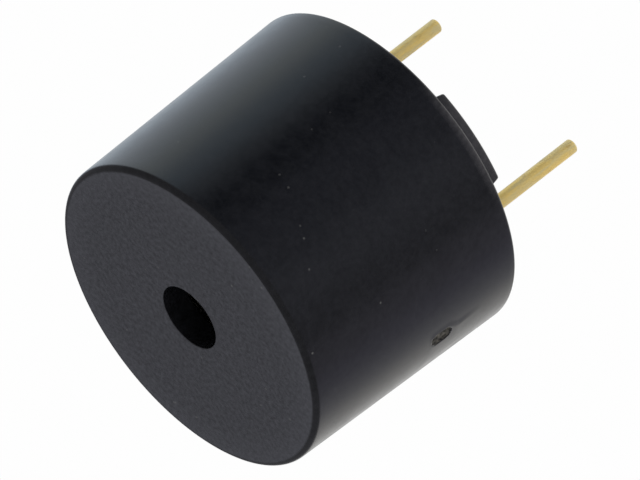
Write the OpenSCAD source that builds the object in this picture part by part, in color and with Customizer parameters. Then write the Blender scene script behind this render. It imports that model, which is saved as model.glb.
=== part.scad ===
// Magnetic buzzer with two solder pins.
//
// A drafted round case stands on three short feet. Its closed face has one
// sound hole. Inside, a steel diaphragm lies on a support ring over the pole of
// a small electromagnet; a ring magnet round the coil pulls the diaphragm down
// and the coil shakes it. A round board under the magnet carries the drive
// circuit and both pins, and cast resin closes the base.
//
// Frame: +Z leaves the sound hole, z = 0 is the plane of the feet, the origin
// is the point midway between the pins, and +X points to the positive pin.
// All lengths are in millimetres.

/* [Case] */
// Diameter of the case at its base
case_d = 12; // [11.6:0.1:13]
// Height of the case without its feet
case_h = 9; // [8.8:0.1:10]
// Draft of the side wall: how much smaller the radius is at the face
case_draft = 0.2; // [0.05:0.05:0.35]
// Radius of the front edge, between face and side wall
rim_round = 0.22; // [0.1:0.02:0.3]
// Break of the base edge
base_break = 0.1; // [0.05:0.05:0.12]
// Thickness of the face
face_t = 1; // [0.8:0.1:1.2]
// Thickness of the side wall at the base
wall_t = 0.65; // [0.6:0.05:0.7]
// Diameter of the sound hole
hole_d = 2.4; // [1.5:0.1:3.5]
// Distance between the case's axis and the point midway between the pins
case_shift = 0.3; // [0:0.05:0.3]

/* [Feet] */
// Number of feet on the base rim
foot_n = 3; // [2:1:4]
// Height of a foot
foot_h = 0.35; // [0.2:0.05:0.5]
// Radial width of a foot
foot_w = 0.4; // [0.25:0.05:0.4]
// Arc of a foot where it touches the board below, in degrees
foot_arc = 33; // [20:1:45]
// Run of each sloped end of a foot
foot_slope = 0.08; // [0.04:0.02:0.3]
// Break of the corners at a foot's ends
foot_break = 0.06; // [0.02:0.02:0.1]
// Direction of the first foot, in degrees from +X
foot_az = 234; // [200:1:260]

/* [Gate mark] */
// Direction of the moulding gate mark, in degrees from +X
gate_az = 174; // [160:1:190]
// Height of the mark's middle above the base rim
gate_z = 3.2; // [2:0.1:6]
// Length of the mark along the case
gate_len = 1.2; // [0.6:0.1:1.6]
// Width of the mark round the case
gate_w = 0.7; // [0.3:0.05:0.9]
// Depth of the mark
gate_depth = 0.12; // [0.05:0.01:0.15]

/* [Pins] */
// Distance between the pins
pitch = 6.5; // [5:0.1:6.6]
// Diameter of a pin
pin_d = 0.5; // [0.4:0.05:0.6]
// Length of the positive pin below the feet
pin_pos_len = 5.1; // [3:0.1:7]
// Length of the negative pin below the feet
pin_neg_len = 4.8; // [3:0.1:7]
// Break of a pin's tip
tip_break = 0.08; // [0.04:0.01:0.12]

/* [Base] */
// Depth of the resin's surface inside the base rim
seal_recess = 0.2; // [0.1:0.05:0.25]
// Thickness of the resin under the board
seal_t = 1.2; // [1.15:0.05:1.3]
// Thickness of the terminal board
board_t = 0.8; // [0.6:0.1:0.8]
// Diameter of the terminal board
board_d = 10; // [9.6:0.1:10]

/* [Magnet system] */
// Thickness of the steel yoke
yoke_t = 0.7; // [0.5:0.1:0.8]
// Diameter of the yoke
yoke_d = 9.4; // [9.2:0.1:9.4]
// Diameter of the pole
pole_d = 2.5; // [2:0.1:2.5]
// Diameter of the rivet end of the pole
rivet_d = 1.6; // [1.2:0.1:1.8]
// Height of the bobbin
bobbin_h = 2.5; // [2:0.1:2.6]
// Thickness of a bobbin flange and of its tube
bobbin_t = 0.25; // [0.2:0.05:0.3]
// Diameter of the bobbin flanges
bobbin_d = 5.7; // [5.5:0.1:5.8]
// Inner diameter of the ring magnet
magnet_id = 6.2; // [6:0.1:6.4]
// Outer diameter of the ring magnet
magnet_od = 9.2; // [9:0.1:9.2]
// Height of the ring magnet
magnet_h = 2.1; // [1.5:0.1:2.2]

/* [Diaphragm] */
// Gap between the pole and the diaphragm
air_gap = 0.2; // [0.15:0.05:0.3]
// Thickness of the diaphragm foil
foil_t = 0.06; // [0.05:0.01:0.08]
// Diameter of the diaphragm
foil_d = 9.8; // [9.6:0.1:9.8]
// Diameter of the armature disc on the diaphragm
armature_d = 3; // [2:0.1:3.5]
// Thickness of the armature disc
armature_t = 0.5; // [0.3:0.1:0.6]

/* [Hidden] */
$fn = 96;

// Small allowance that lets one cut run clear through another solid
eps = 0.5;

// Levels, from the feet upwards
z_rim = foot_h;                        // base rim of the case
z_seal = z_rim + seal_recess;          // resin surface
z_board = z_seal + seal_t;             // underside of the board
z_yoke = z_board + board_t;            // board top, yoke underside
z_shank = z_seal;                      // where a pin's shank starts to widen
z_pin = z_yoke - 0.1;                  // upper end of a pin, inside the board
z_coil = z_yoke + yoke_t;              // yoke top
z_pole = z_coil + bobbin_h + 0.2;      // pole face
z_foil = z_pole + air_gap;             // diaphragm underside
z_ledge = z_foil + 0.3;                // ledge of the case on the support ring
z_face = z_rim + case_h;               // face of the case

// Radii
base_r = case_d / 2;
face_r = base_r - case_draft;
bore_r = base_r - wall_t;
chamber_r = bore_r - 0.55;
ring_r = bore_r - 0.05;
foot_r = base_r - base_break - 0.05;

// Break of the bore's mouth
mouth_break = 0.05;

// How much wider a pin's shank is at its upper end
shank_grow = 0.02;

// Slot through the yoke and the board for the coil leads
slot_y = -2.2;
slot_l = 2.2;
slot_w = 0.8;

// Coil leads: places across the slot, wire size and the row of their joints
lead_x = [-0.7, 0, 0.7];
lead_d = 0.1;
lead_drop = 0.09;
joint_y = -3.4;
joint_r = 0.32;
joint_h = 0.26;

// Parts of the drive circuit on the board's underside
transistor_y = 1.5;
resistor_y = 3.7;

// Radius of the side wall at a height above the base rim
function wall_r(z) = base_r - case_draft * z / case_h;

// Radius of a pin's shank at a height in the resin or the board
function shank_r(z) = pin_d / 2 + shank_grow * (z - z_shank) / (z_pin - z_shank);

// Points of a corner arc of radius r round [cx, cy], from its top to its side
function quarter(cx, cy, r, n = 6) =
    [for (i = [0 : n]) [cx + r * sin(90 * i / n), cy + r * cos(90 * i / n)]];

// Points of the front edge's arc, which leaves the leaning side wall smoothly
rim_lean = atan(case_draft / case_h);
rim_x = face_r - rim_round * (1 - sin(rim_lean)) / cos(rim_lean);
rim_pts = [for (i = [0 : 6]) let (a = rim_lean + (90 - rim_lean) * i / 6)
    [rim_x + rim_round * cos(a), z_face - rim_round + rim_round * sin(a)]];

// Half outline of the gate mark's cutter, whose greatest radius is r: it runs
// out of the wall at both ends and is deepest a little above its middle
function gate_pts(r, n = 12) = concat(
    [[0, -0.6 * gate_len]],
    [for (i = [0 : n]) let (u = 2.4 * i / n - 1.2)
        [r - gate_depth * (1 - (1 - u * u) * (1 + 0.4 * u) / 1.04), gate_len / 2 * u]],
    [[0, 0.6 * gate_len]]);

// Everything that is centred on the case's axis
module on_axis() translate([case_shift, 0, 0]) children();

// A slot with round ends along X, cut from z0 up by h
module slot(l, w, z0, h) {
    translate([-(l - w) / 2, -w / 2, z0]) cube([l - w, w, h]);
    for (s = [-1, 1]) translate([s * (l - w) / 2, 0, z0]) cylinder(d = w, h = h, $fn = 32);
}

// One foot: an arc of the base rim with sloped ends and broken corners
module foot() {
    half = foot_arc / 2 + asin(foot_slope / foot_r);
    lean = atan(foot_slope / foot_h);
    corner = foot_arc / 2 - asin(foot_break / foot_r);
    difference() {
        rotate([0, 0, -half])
            rotate_extrude(angle = 2 * half)
                translate([foot_r - foot_w, 0]) square([foot_w, foot_h + base_break]);
        for (m = [0, 1]) mirror([0, m, 0])
            rotate([0, 0, half]) translate([0, 0, foot_h]) rotate([-lean, 0, 0])
                translate([foot_r - foot_w - eps, 0, -1]) cube([foot_w + 2 * eps, 1, 2]);
        for (m = [0, 1]) mirror([0, m, 0])
            rotate([0, 0, corner]) rotate([-45, 0, 0])
                translate([foot_r - foot_w - eps, 0, -1]) cube([foot_w + 2 * eps, 1, 2]);
    }
}

// The gate mark: a spindle laid into the side wall
module gate_mark() {
    r = (gate_w * gate_w / 4 + gate_depth * gate_depth) / (2 * gate_depth);
    rotate([0, 0, gate_az])
        translate([wall_r(gate_z) + r - gate_depth, 0, z_rim + gate_z])
            rotate_extrude($fn = 32) polygon(gate_pts(r));
}

// Case: one revolved section with draft, broken edges, a ledge and a chamber
module case() color("#26272a") on_axis() difference() {
    union() {
        rotate_extrude() polygon(concat(
            [[bore_r + mouth_break, z_rim],
             [base_r - base_break, z_rim],
             [wall_r(base_break), z_rim + base_break]],
            rim_pts,
            [[hole_d / 2, z_face],
             [hole_d / 2, z_face - face_t]],
            quarter(chamber_r - 0.3, z_face - face_t - 0.3, 0.3),
            [[chamber_r, z_ledge],
             [bore_r, z_ledge],
             [bore_r, z_rim + mouth_break]]));
        for (i = [0 : foot_n - 1]) rotate([0, 0, foot_az + 360 / foot_n * i]) foot();
    }
    gate_mark();
}

// Support ring: carries the diaphragm inside its lip, clears yoke and magnet
module support_ring() color("#d8d4c8") on_axis() rotate_extrude() polygon([
    [yoke_d / 2 + 0.05, z_yoke],
    [ring_r, z_yoke],
    [ring_r, z_ledge],
    [foil_d / 2 + 0.05, z_ledge],
    [foil_d / 2 + 0.05, z_foil],
    [foil_d / 2 - 0.6, z_foil],
    [foil_d / 2 - 0.6, z_foil - 0.3],
    [yoke_d / 2 + 0.05, z_foil - 0.55]]);

// Diaphragm: a flat foil
module diaphragm() color("#c3c6c9") on_axis()
    translate([0, 0, z_foil]) cylinder(d = foil_d, h = foil_t);

// Armature: an iron disc with a broken top edge, welded on the foil
module armature() color("#8f9296") on_axis()
    translate([0, 0, z_foil + foil_t]) rotate_extrude($fn = 64) polygon([
        [0, 0], [armature_d / 2, 0], [armature_d / 2, armature_t - 0.06],
        [armature_d / 2 - 0.06, armature_t], [0, armature_t]]);

// Core: the pole with its rivet end
module core() color("#9a9da1") on_axis() rotate_extrude($fn = 64) polygon([
    [0, z_yoke], [rivet_d / 2, z_yoke], [rivet_d / 2, z_coil],
    [pole_d / 2, z_coil], [pole_d / 2, z_pole - 0.1],
    [pole_d / 2 - 0.1, z_pole], [0, z_pole]]);

// Yoke: the steel base disc
module yoke() color("#a3a6aa") on_axis() difference() {
    translate([0, 0, z_yoke]) cylinder(d = yoke_d, h = yoke_t);
    translate([0, 0, z_yoke - eps]) cylinder(d = rivet_d, h = yoke_t + 2 * eps, $fn = 64);
    translate([0, slot_y, 0]) slot(slot_l, slot_w, z_yoke - eps, yoke_t + 2 * eps);
}

// Magnet: a ring that stands on the yoke
module magnet() color("#3a3b3e") on_axis() rotate_extrude() polygon([
    [magnet_id / 2, z_coil],
    [magnet_od / 2, z_coil],
    [magnet_od / 2, z_coil + magnet_h - 0.1],
    [magnet_od / 2 - 0.1, z_coil + magnet_h],
    [magnet_id / 2, z_coil + magnet_h]]);

// Bobbin: two flanges and a tube, with a notch for the leads in the lower one
module bobbin() color("#e6e2d6") on_axis() difference() {
    rotate_extrude($fn = 64) polygon([
        [pole_d / 2 + 0.05, z_coil],
        [bobbin_d / 2, z_coil],
        [bobbin_d / 2, z_coil + bobbin_t],
        [pole_d / 2 + 0.05 + bobbin_t, z_coil + bobbin_t],
        [pole_d / 2 + 0.05 + bobbin_t, z_coil + bobbin_h - bobbin_t],
        [bobbin_d / 2, z_coil + bobbin_h - bobbin_t],
        [bobbin_d / 2, z_coil + bobbin_h],
        [pole_d / 2 + 0.05, z_coil + bobbin_h]]);
    translate([-0.8, -4, z_coil - eps]) cube([1.6, 2.1, eps + bobbin_t]);
}

// Winding: drive and sense turns wound together
module winding() color("#a5502a") on_axis() rotate_extrude($fn = 64) polygon([
    [pole_d / 2 + 0.05 + bobbin_t, z_coil + bobbin_t],
    [bobbin_d / 2 - 0.15, z_coil + bobbin_t],
    [bobbin_d / 2 - 0.15, z_coil + bobbin_h - bobbin_t],
    [pole_d / 2 + 0.05 + bobbin_t, z_coil + bobbin_h - bobbin_t]]);

// A coil lead: down from the winding, through the slot and out to its joint
module lead(x) {
    z0 = z_board - lead_drop;
    translate([x, slot_y, z0]) cylinder(d = lead_d, h = z_coil + bobbin_t - z0, $fn = 16);
    translate([x, slot_y, z0]) sphere(d = lead_d, $fn = 16);
    translate([x, slot_y, z0]) rotate([90, 0, 0])
        cylinder(d = lead_d, h = slot_y - joint_y, $fn = 16);
}
module lead_supply() color("#b8652f") on_axis() lead(lead_x[0]);
module lead_drive() color("#b8652f") on_axis() lead(lead_x[1]);
module lead_sense() color("#b8652f") on_axis() lead(lead_x[2]);

// Board: round, with the pin holes and the slot for the leads
module board() color("#3f6b3a") difference() {
    translate([0, 0, z_board]) cylinder(d = board_d, h = board_t);
    for (s = [-1, 1]) translate([s * pitch / 2, 0, z_board - eps])
        cylinder(d = pin_d + 0.06, h = board_t + 2 * eps, $fn = 48);
    on_axis() translate([0, slot_y, 0]) slot(slot_l, slot_w, z_board - eps, board_t + 2 * eps);
}

// Transistor: a moulded body on the board's underside with one lead on one
// side and two on the other
module gull_lead() rotate([90, 0, 90]) translate([0, 0, -0.2]) linear_extrude(0.4)
    polygon([[0.55, 0.42], [0.85, 0.42], [0.97, 0.12], [1.2, 0.12],
             [1.2, 0], [0.88, 0], [0.76, 0.3], [0.55, 0.3]]);
module transistor() color("#1d1d1f")
    translate([0, transistor_y, z_board]) mirror([0, 0, 1]) {
        translate([-1.45, -0.65, 0.07]) cube([2.9, 1.3, 0.9]);
        gull_lead();
        for (s = [-1, 1]) translate([s * 0.95, 0, 0]) mirror([0, 1, 0]) gull_lead();
    }

// Resistor: a chip with end caps
module resistor() color("#e9e9e6")
    translate([0, resistor_y, z_board]) mirror([0, 0, 1]) {
        translate([-0.5, -0.4, 0.03]) cube([1, 0.8, 0.42]);
        for (s = [-1, 1]) translate([s * 0.65 - 0.15, -0.42, 0]) cube([0.3, 0.84, 0.47]);
    }

// A pin: round wire with a broken tip and a shank that widens a little towards
// the board, in which it is wedged
module pin(len) rotate_extrude($fn = 48) polygon([
    [0, -len], [pin_d / 2 - tip_break, -len], [pin_d / 2, -len + tip_break],
    [pin_d / 2, z_shank], [shank_r(z_pin), z_pin], [0, z_pin]]);
module pin_pos() color("#c9a24e") translate([pitch / 2, 0, 0]) pin(pin_pos_len);
module pin_neg() color("#c9a24e") translate([-pitch / 2, 0, 0]) pin(pin_neg_len);

// Solder fillet between a pin and the board's underside
fillet_pts = [
    [shank_r(z_board - 0.6), z_board - 0.6], [pin_d / 2 + 0.06, z_board - 0.45],
    [pin_d / 2 + 0.2, z_board - 0.2], [pin_d / 2 + 0.5, z_board]];
module fillet() rotate_extrude($fn = 48) polygon(concat(
    fillet_pts, [[shank_r(z_board), z_board]]));
module solder_pos() color("#b9bcc0") translate([pitch / 2, 0, 0]) fillet();
module solder_neg() color("#b9bcc0") translate([-pitch / 2, 0, 0]) fillet();

// Solder joint over the end of a coil lead
module joint_dome(x) on_axis() translate([x, joint_y, z_board]) intersection() {
    translate([0, 0, joint_r - joint_h]) sphere(r = joint_r, $fn = 32);
    translate([-1, -1, -1]) cube([2, 2, 1]);
}
module joint(i) difference() {
    joint_dome(lead_x[i]);
    on_axis() lead(lead_x[i]);
}
module solder_supply() color("#b9bcc0") joint(0);
module solder_drive() color("#b9bcc0") joint(1);
module solder_sense() color("#b9bcc0") joint(2);

// The space that a pin and its solder take up in the resin
module pin_seat() rotate_extrude($fn = 48) polygon(concat(
    [[0, z_seal - eps], [pin_d / 2, z_seal - eps], [pin_d / 2, z_shank]],
    fillet_pts, [[0, z_board]]));

// Seal: cast resin under and round the board, with a shallow meniscus
module seal() color("#2b2622") difference() {
    on_axis() rotate_extrude() polygon([
        [0, z_seal + 0.08], [bore_r - 0.7, z_seal + 0.08], [bore_r, z_seal],
        [bore_r, z_yoke], [0, z_yoke]]);
    translate([0, 0, z_board]) cylinder(d = board_d, h = board_t + eps);
    for (s = [-1, 1]) translate([s * pitch / 2, 0, 0]) pin_seat();
    for (i = [0 : 2]) { joint_dome(lead_x[i]); on_axis() lead(lead_x[i]); }
    transistor();
    resistor();
}

case();
support_ring();
diaphragm();
armature();
core();
yoke();
magnet();
bobbin();
winding();
lead_supply();
lead_drive();
lead_sense();
board();
transistor();
resistor();
pin_pos();
pin_neg();
solder_pos();
solder_neg();
solder_supply();
solder_drive();
solder_sense();
seal();
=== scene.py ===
"""Magnetic buzzer: the looks of a round black through-hole sounder.

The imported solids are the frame. Each sub-assembly is a class that models its
own pieces in that frame and dresses them; the studio is a class of its own.
The scene is in metres. Sizes are written in millimetres, which MM turns into
metres, and angles in degrees, unless a docstring says otherwise.
"""

import logging
import math
from dataclasses import dataclass
from enum import Enum
from typing import Callable, Sequence

import bpy
from mathutils import Matrix, Vector, noise


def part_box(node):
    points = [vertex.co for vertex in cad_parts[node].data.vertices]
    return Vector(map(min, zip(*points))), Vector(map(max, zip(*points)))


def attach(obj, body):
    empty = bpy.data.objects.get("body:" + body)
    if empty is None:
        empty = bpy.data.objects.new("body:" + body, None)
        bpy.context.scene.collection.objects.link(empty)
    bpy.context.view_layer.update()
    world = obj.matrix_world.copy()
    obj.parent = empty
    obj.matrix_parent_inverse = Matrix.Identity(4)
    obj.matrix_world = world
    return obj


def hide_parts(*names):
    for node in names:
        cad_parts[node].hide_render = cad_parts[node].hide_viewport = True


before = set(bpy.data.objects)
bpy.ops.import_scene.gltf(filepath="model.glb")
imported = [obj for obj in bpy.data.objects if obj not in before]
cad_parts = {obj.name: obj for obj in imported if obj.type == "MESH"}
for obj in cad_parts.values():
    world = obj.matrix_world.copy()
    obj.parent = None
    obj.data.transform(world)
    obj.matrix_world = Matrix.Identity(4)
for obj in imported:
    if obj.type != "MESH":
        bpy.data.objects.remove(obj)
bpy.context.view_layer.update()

MM = 0.001
MERGE_GAP = 0.0005
FULL_TURN = 360.0
X, Y, Z = range(3)
LOG = logging.getLogger("buzzer")
Point = tuple[float, float]
Triple = tuple[float, float, float]
Value = bpy.types.NodeSocket | float


class ToolUse(Enum):
    """What a tool solid does to the piece it is used on."""

    JOIN = "UNION"
    CUT = "DIFFERENCE"


class Mixed(Enum):
    """What a Mix node mixes: its data type, both inputs and its output."""

    NUMBER = ("FLOAT", 2, 3, 0)
    COLOUR = ("RGBA", 6, 7, 2)


# --------------------------------------------------------------------------
# Frame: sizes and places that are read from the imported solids
# --------------------------------------------------------------------------


@dataclass(frozen=True)
class Extent:
    """The box round a CAD node.

    Attributes:
        low: Its lowest corner.
        high: Its highest corner.
    """

    low: Triple
    high: Triple

    @classmethod
    def of(cls, node: str) -> "Extent":
        """Read a node's box.

        Args:
            node: Name of the node.

        Returns:
            The box to a hundredth of a millimetre, which evens out the flats
            of its round sides.
        """
        low, high = (tuple(round(v / MM, 2) for v in corner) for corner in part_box(node))
        return cls(low, high)

    def middle(self, axis: int) -> float:
        """Middle of the box along an axis."""
        return round((self.low[axis] + self.high[axis]) / 2, 3)

    @property
    def tall(self) -> float:
        """Height of the box."""
        return round(self.high[Z] - self.low[Z], 3)

    @property
    def radius(self) -> float:
        """Outer radius of a node that is turned about the case's axis."""
        return round(self.high[X] - AXIS_X, 3)


BOX = {node: Extent.of(node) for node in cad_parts}
AXIS_X = BOX["magnet"].middle(X)


@dataclass(frozen=True)
class Shell:
    """The outer form of the case, shared by its mesh, its mark and its finish.

    Attributes:
        base_r: Radius at the base rim.
        face_r: Radius at the face.
        rim_z: Height of the base rim.
        face_z: Height of the face.
        side_r: Beyond this radius, a point is on the side wall.
    """

    base_r: float = 6.0
    face_r: float = 5.8
    rim_z: float = 0.35
    face_z: float = BOX["case"].high[Z]
    side_r: float = 5.6

    @property
    def lean(self) -> float:
        """How much smaller its radius is for each millimetre up."""
        return (self.base_r - self.face_r) / (self.face_z - self.rim_z)

    def wall_r(self, z: float) -> float:
        """Radius of the side wall at a height."""
        return self.base_r - self.lean * (z - self.rim_z)


@dataclass(frozen=True)
class PinForm:
    """The form of both pins, shared with what is cast or soldered round them.

    Attributes:
        names: The pins' CAD nodes, positive pin first.
        radius: Radius of a pin.
        grow: How much wider its shank is at the top.
        shank_z: Height where the shank starts to widen.
        top_z: Upper end of a pin, inside the board.
    """

    names: tuple[str, str] = ("pin_pos", "pin_neg")
    radius: float = 0.25
    grow: float = 0.02
    shank_z: float = 0.55
    top_z: float = BOX["pin_pos"].high[Z]

    def places(self) -> list[float]:
        """Place of each pin along X."""
        return [BOX[name].middle(X) for name in self.names]

    def shank_r(self, z: float) -> float:
        """Radius of the shank at a height."""
        return self.radius + self.grow * (z - self.shank_z) / (self.top_z - self.shank_z)


# --------------------------------------------------------------------------
# Bench: the few modelling moves that every piece shares
# --------------------------------------------------------------------------


def clamp(value: float) -> float:
    """A value held between 0 and 1."""
    return min(max(value, 0.0), 1.0)


def ease(value: float) -> float:
    """A value held between 0 and 1 and eased at both ends."""
    held = clamp(value)
    return held * held * (3.0 - 2.0 * held)


def turn_from(start: float, azimuth: float) -> float:
    """Turn from one direction to another, between -180 and 180 degrees."""
    return (azimuth - start + 180.0) % FULL_TURN - 180.0


def clear_selection() -> None:
    """Leave edit mode and deselect every object."""
    if bpy.context.object and bpy.context.object.mode != "OBJECT":
        leave_edit()
    bpy.ops.object.select_all(action="DESELECT")


def make_active(obj: bpy.types.Object) -> None:
    """Select one object alone and make it active.

    Args:
        obj: The object to work on.
    """
    clear_selection()
    obj.select_set(True)
    bpy.context.view_layer.objects.active = obj


def edit_all() -> None:
    """Open the active piece for editing, with all of it selected."""
    bpy.ops.object.mode_set(mode="EDIT")
    bpy.ops.mesh.select_all(action="SELECT")


def leave_edit() -> None:
    """Go back to object mode."""
    bpy.ops.object.mode_set(mode="OBJECT")


def extrude(step: Vector) -> None:
    """Extrude what is selected by a step, in metres."""
    bpy.ops.mesh.extrude_region_move(TRANSFORM_OT_translate={"value": step})


def settle(obj: bpy.types.Object, name: str) -> bpy.types.Object:
    """Name a piece and put its place into its mesh.

    Args:
        obj: The piece.
        name: Its name, which its mesh takes too.

    Returns:
        The same piece, with its object at the origin.
    """
    make_active(obj)
    bpy.ops.object.transform_apply(location=True, rotation=True, scale=True)
    obj.name = name
    obj.data.name = name
    return obj


def smooth(obj: bpy.types.Object, angle: float) -> None:
    """Shade a piece smooth, but for edges that turn by more than an angle."""
    make_active(obj)
    bpy.ops.object.shade_smooth_by_angle(angle=math.radians(angle))


def tidy_mesh(obj: bpy.types.Object, gap: float = MERGE_GAP) -> None:
    """Merge doubled points and turn every face outwards.

    Args:
        obj: The piece.
        gap: Points closer than this are merged.
    """
    make_active(obj)
    edit_all()
    bpy.ops.mesh.remove_doubles(threshold=gap * MM)
    bpy.ops.mesh.normals_make_consistent(inside=False)
    leave_edit()


def draw_line(places: Sequence[Vector]) -> bpy.types.Object:
    """Draw a line from point to point, starting from a plane merged into one.

    Args:
        places: The points, in metres, in order.

    Returns:
        A mesh object, in edit mode, whose last point is selected.
    """
    clear_selection()
    bpy.ops.mesh.primitive_plane_add(size=0.1 * MM, location=places[0])
    obj = bpy.context.object
    bpy.ops.object.transform_apply(location=True, rotation=True, scale=True)
    edit_all()
    bpy.ops.mesh.merge(type="CENTER")
    for before, after in zip(places, places[1:]):
        extrude(after - before)
    return obj


def lathe(
    name: str,
    outline: Sequence[Point],
    centre: Point = (0.0, 0.0),
    steps: int = 192,
    sweep: float = FULL_TURN,
    start: float = 0.0,
    closed: bool = True,
) -> bpy.types.Object:
    """Turn a drawn half section about an upright axis.

    Args:
        name: Name of the piece.
        outline: Points (radius, height) of the half section, in order.
        centre: Place (x, y) of the axis.
        steps: Number of steps round the sweep.
        sweep: Angle of the turn.
        start: Direction of the first section, from +X.
        closed: Whether the outline's last point joins its first.

    Returns:
        The turned piece, closed where its outline is closed or meets the axis.
    """
    turn = Matrix.Rotation(math.radians(start), 4, "Z")
    axis = Vector((centre[0], centre[1], 0.0)) * MM
    points = list(outline) + ([outline[0]] if closed else [])
    obj = draw_line([axis + turn @ (Vector((r, 0.0, z)) * MM) for r, z in points])
    bpy.ops.mesh.select_all(action="SELECT")
    if sweep < FULL_TURN:
        bpy.ops.mesh.remove_doubles(threshold=MERGE_GAP * MM)
        bpy.ops.mesh.edge_face_add()
    angle = -math.radians(sweep)
    bpy.ops.mesh.spin(steps=steps, angle=angle, center=axis, axis=(0.0, 0.0, 1.0))
    leave_edit()
    tidy_mesh(obj)
    return settle(obj, name)


def rod(
    name: str, radius: float, low: float, high: float, centre: Point, steps: int
) -> bpy.types.Object:
    """An upright round solid, to cut with.

    Args:
        name: Name of the solid.
        radius: Its radius.
        low: Its lower end.
        high: Its upper end.
        centre: Place (x, y) of its axis.
        steps: Number of steps round it.

    Returns:
        The solid.
    """
    outline = [(0.0, low), (radius, low), (radius, high), (0.0, high)]
    return lathe(name, outline, centre, steps=steps, closed=False)


def arc(cx: float, cz: float, radius: float, a0: float, a1: float, n: int) -> list[Point]:
    """Points of an arc in a half section.

    Args:
        cx: Radius of the arc's centre.
        cz: Height of the arc's centre.
        radius: The arc's own radius.
        a0: First angle, from the outward direction.
        a1: Last angle.
        n: Number of steps.

    Returns:
        n + 1 points from a0 to a1.
    """
    angles = (math.radians(a0 + (a1 - a0) * i / n) for i in range(n + 1))
    return [(cx + radius * math.cos(a), cz + radius * math.sin(a)) for a in angles]


def ramp(first: Point, last: Point, n: int) -> list[Point]:
    """Points that divide a straight run into n steps, without its last point.

    Args:
        first: First point.
        last: Last point, left out.
        n: Number of steps.

    Returns:
        n points from first towards last.
    """
    return [
        (
            first[0] + (last[0] - first[0]) * i / n,
            first[1] + (last[1] - first[1]) * i / n,
        )
        for i in range(n)
    ]


def block(
    name: str, low: Sequence[float], high: Sequence[float], edge: float = 0.0
) -> bpy.types.Object:
    """A block between two corners, with broken edges.

    Args:
        name: Name of the piece.
        low: Lowest corner.
        high: Highest corner.
        edge: Width of the edges' bevel.

    Returns:
        The block.
    """
    clear_selection()
    lo, hi = Vector(low) * MM, Vector(high) * MM
    bpy.ops.mesh.primitive_cube_add(size=1.0, location=(lo + hi) / 2)
    obj = bpy.context.object
    obj.scale = hi - lo
    bpy.ops.object.transform_apply(location=True, rotation=True, scale=True)
    if edge > 0.0:
        edit_all()
        bpy.ops.mesh.bevel(offset=edge * MM, segments=3, profile=0.6)
        leave_edit()
    return settle(obj, name)


def bevel(obj: bpy.types.Object, width: float, segments: int, angle: float) -> None:
    """Round a piece's sharp edges.

    Args:
        obj: The piece.
        width: Width of the rounding.
        segments: Number of steps across it.
        angle: An edge is sharp where it turns by more than this.
    """
    make_active(obj)
    modifier = obj.modifiers.new("bevel", "BEVEL")
    modifier.width = width * MM
    modifier.segments = segments
    modifier.limit_method = "ANGLE"
    modifier.angle_limit = math.radians(angle)
    bpy.ops.object.modifier_apply(modifier=modifier.name)


def boolean(obj: bpy.types.Object, tool: bpy.types.Object, use: ToolUse) -> None:
    """Join a piece with a tool solid or cut it, and remove the tool.

    Args:
        obj: The piece that stays.
        tool: The tool solid.
        use: What the tool does.
    """
    make_active(obj)
    modifier = obj.modifiers.new("boolean", "BOOLEAN")
    modifier.operation = use.value
    modifier.solver = "EXACT"
    modifier.object = tool
    bpy.ops.object.modifier_apply(modifier=modifier.name)
    bpy.data.objects.remove(tool, do_unlink=True)


def copy_of(source: bpy.types.Object) -> bpy.types.Object:
    """Copy a piece, with a mesh of its own.

    Args:
        source: The piece.

    Returns:
        The copy, linked to the scene.
    """
    twin = source.copy()
    twin.data = source.data.copy()
    bpy.context.scene.collection.objects.link(twin)
    return twin


def select_faces(
    obj: bpy.types.Object, wanted: Callable[[bpy.types.MeshPolygon], bool]
) -> None:
    """Select only the faces of a mesh that pass a test, in object mode.

    Args:
        obj: The piece.
        wanted: The test, given a face.
    """
    mesh = obj.data
    for items in (mesh.vertices, mesh.edges, mesh.polygons):
        items.foreach_set("select", [False] * len(items))
    for face in mesh.polygons:
        face.select = wanted(face)


def hand_over(
    obj: bpy.types.Object,
    material: bpy.types.Material,
    stands_for: Sequence[str],
) -> bpy.types.Object:
    """Dress a finished piece and tie it to the part.

    Args:
        obj: The piece.
        material: Its finish.
        stands_for: CAD nodes that it replaces.

    Returns:
        The piece.
    """
    if not obj.data.materials:
        obj.data.materials.append(material)
    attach(obj, "root")
    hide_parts(*stands_for)
    LOG.info("%s: %d faces", obj.name, len(obj.data.polygons))
    return obj


def dress_node(node: str, material: bpy.types.Material) -> None:
    """Give a carried-over CAD node its finish.

    Args:
        node: Name of the node.
        material: Its finish.
    """
    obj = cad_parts[node]
    obj.data.materials.clear()
    obj.data.materials.append(material)
    LOG.info("%s: CAD node dressed", node)


# --------------------------------------------------------------------------
# Finishes
# --------------------------------------------------------------------------

NOISE_MOST = (0.3, 0.7)
NOISE_CORE = (0.36, 0.64)


def tint(colour: Triple, factor: float) -> Triple:
    """A colour made lighter or darker by a factor."""
    return tuple(part * factor for part in colour)


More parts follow.
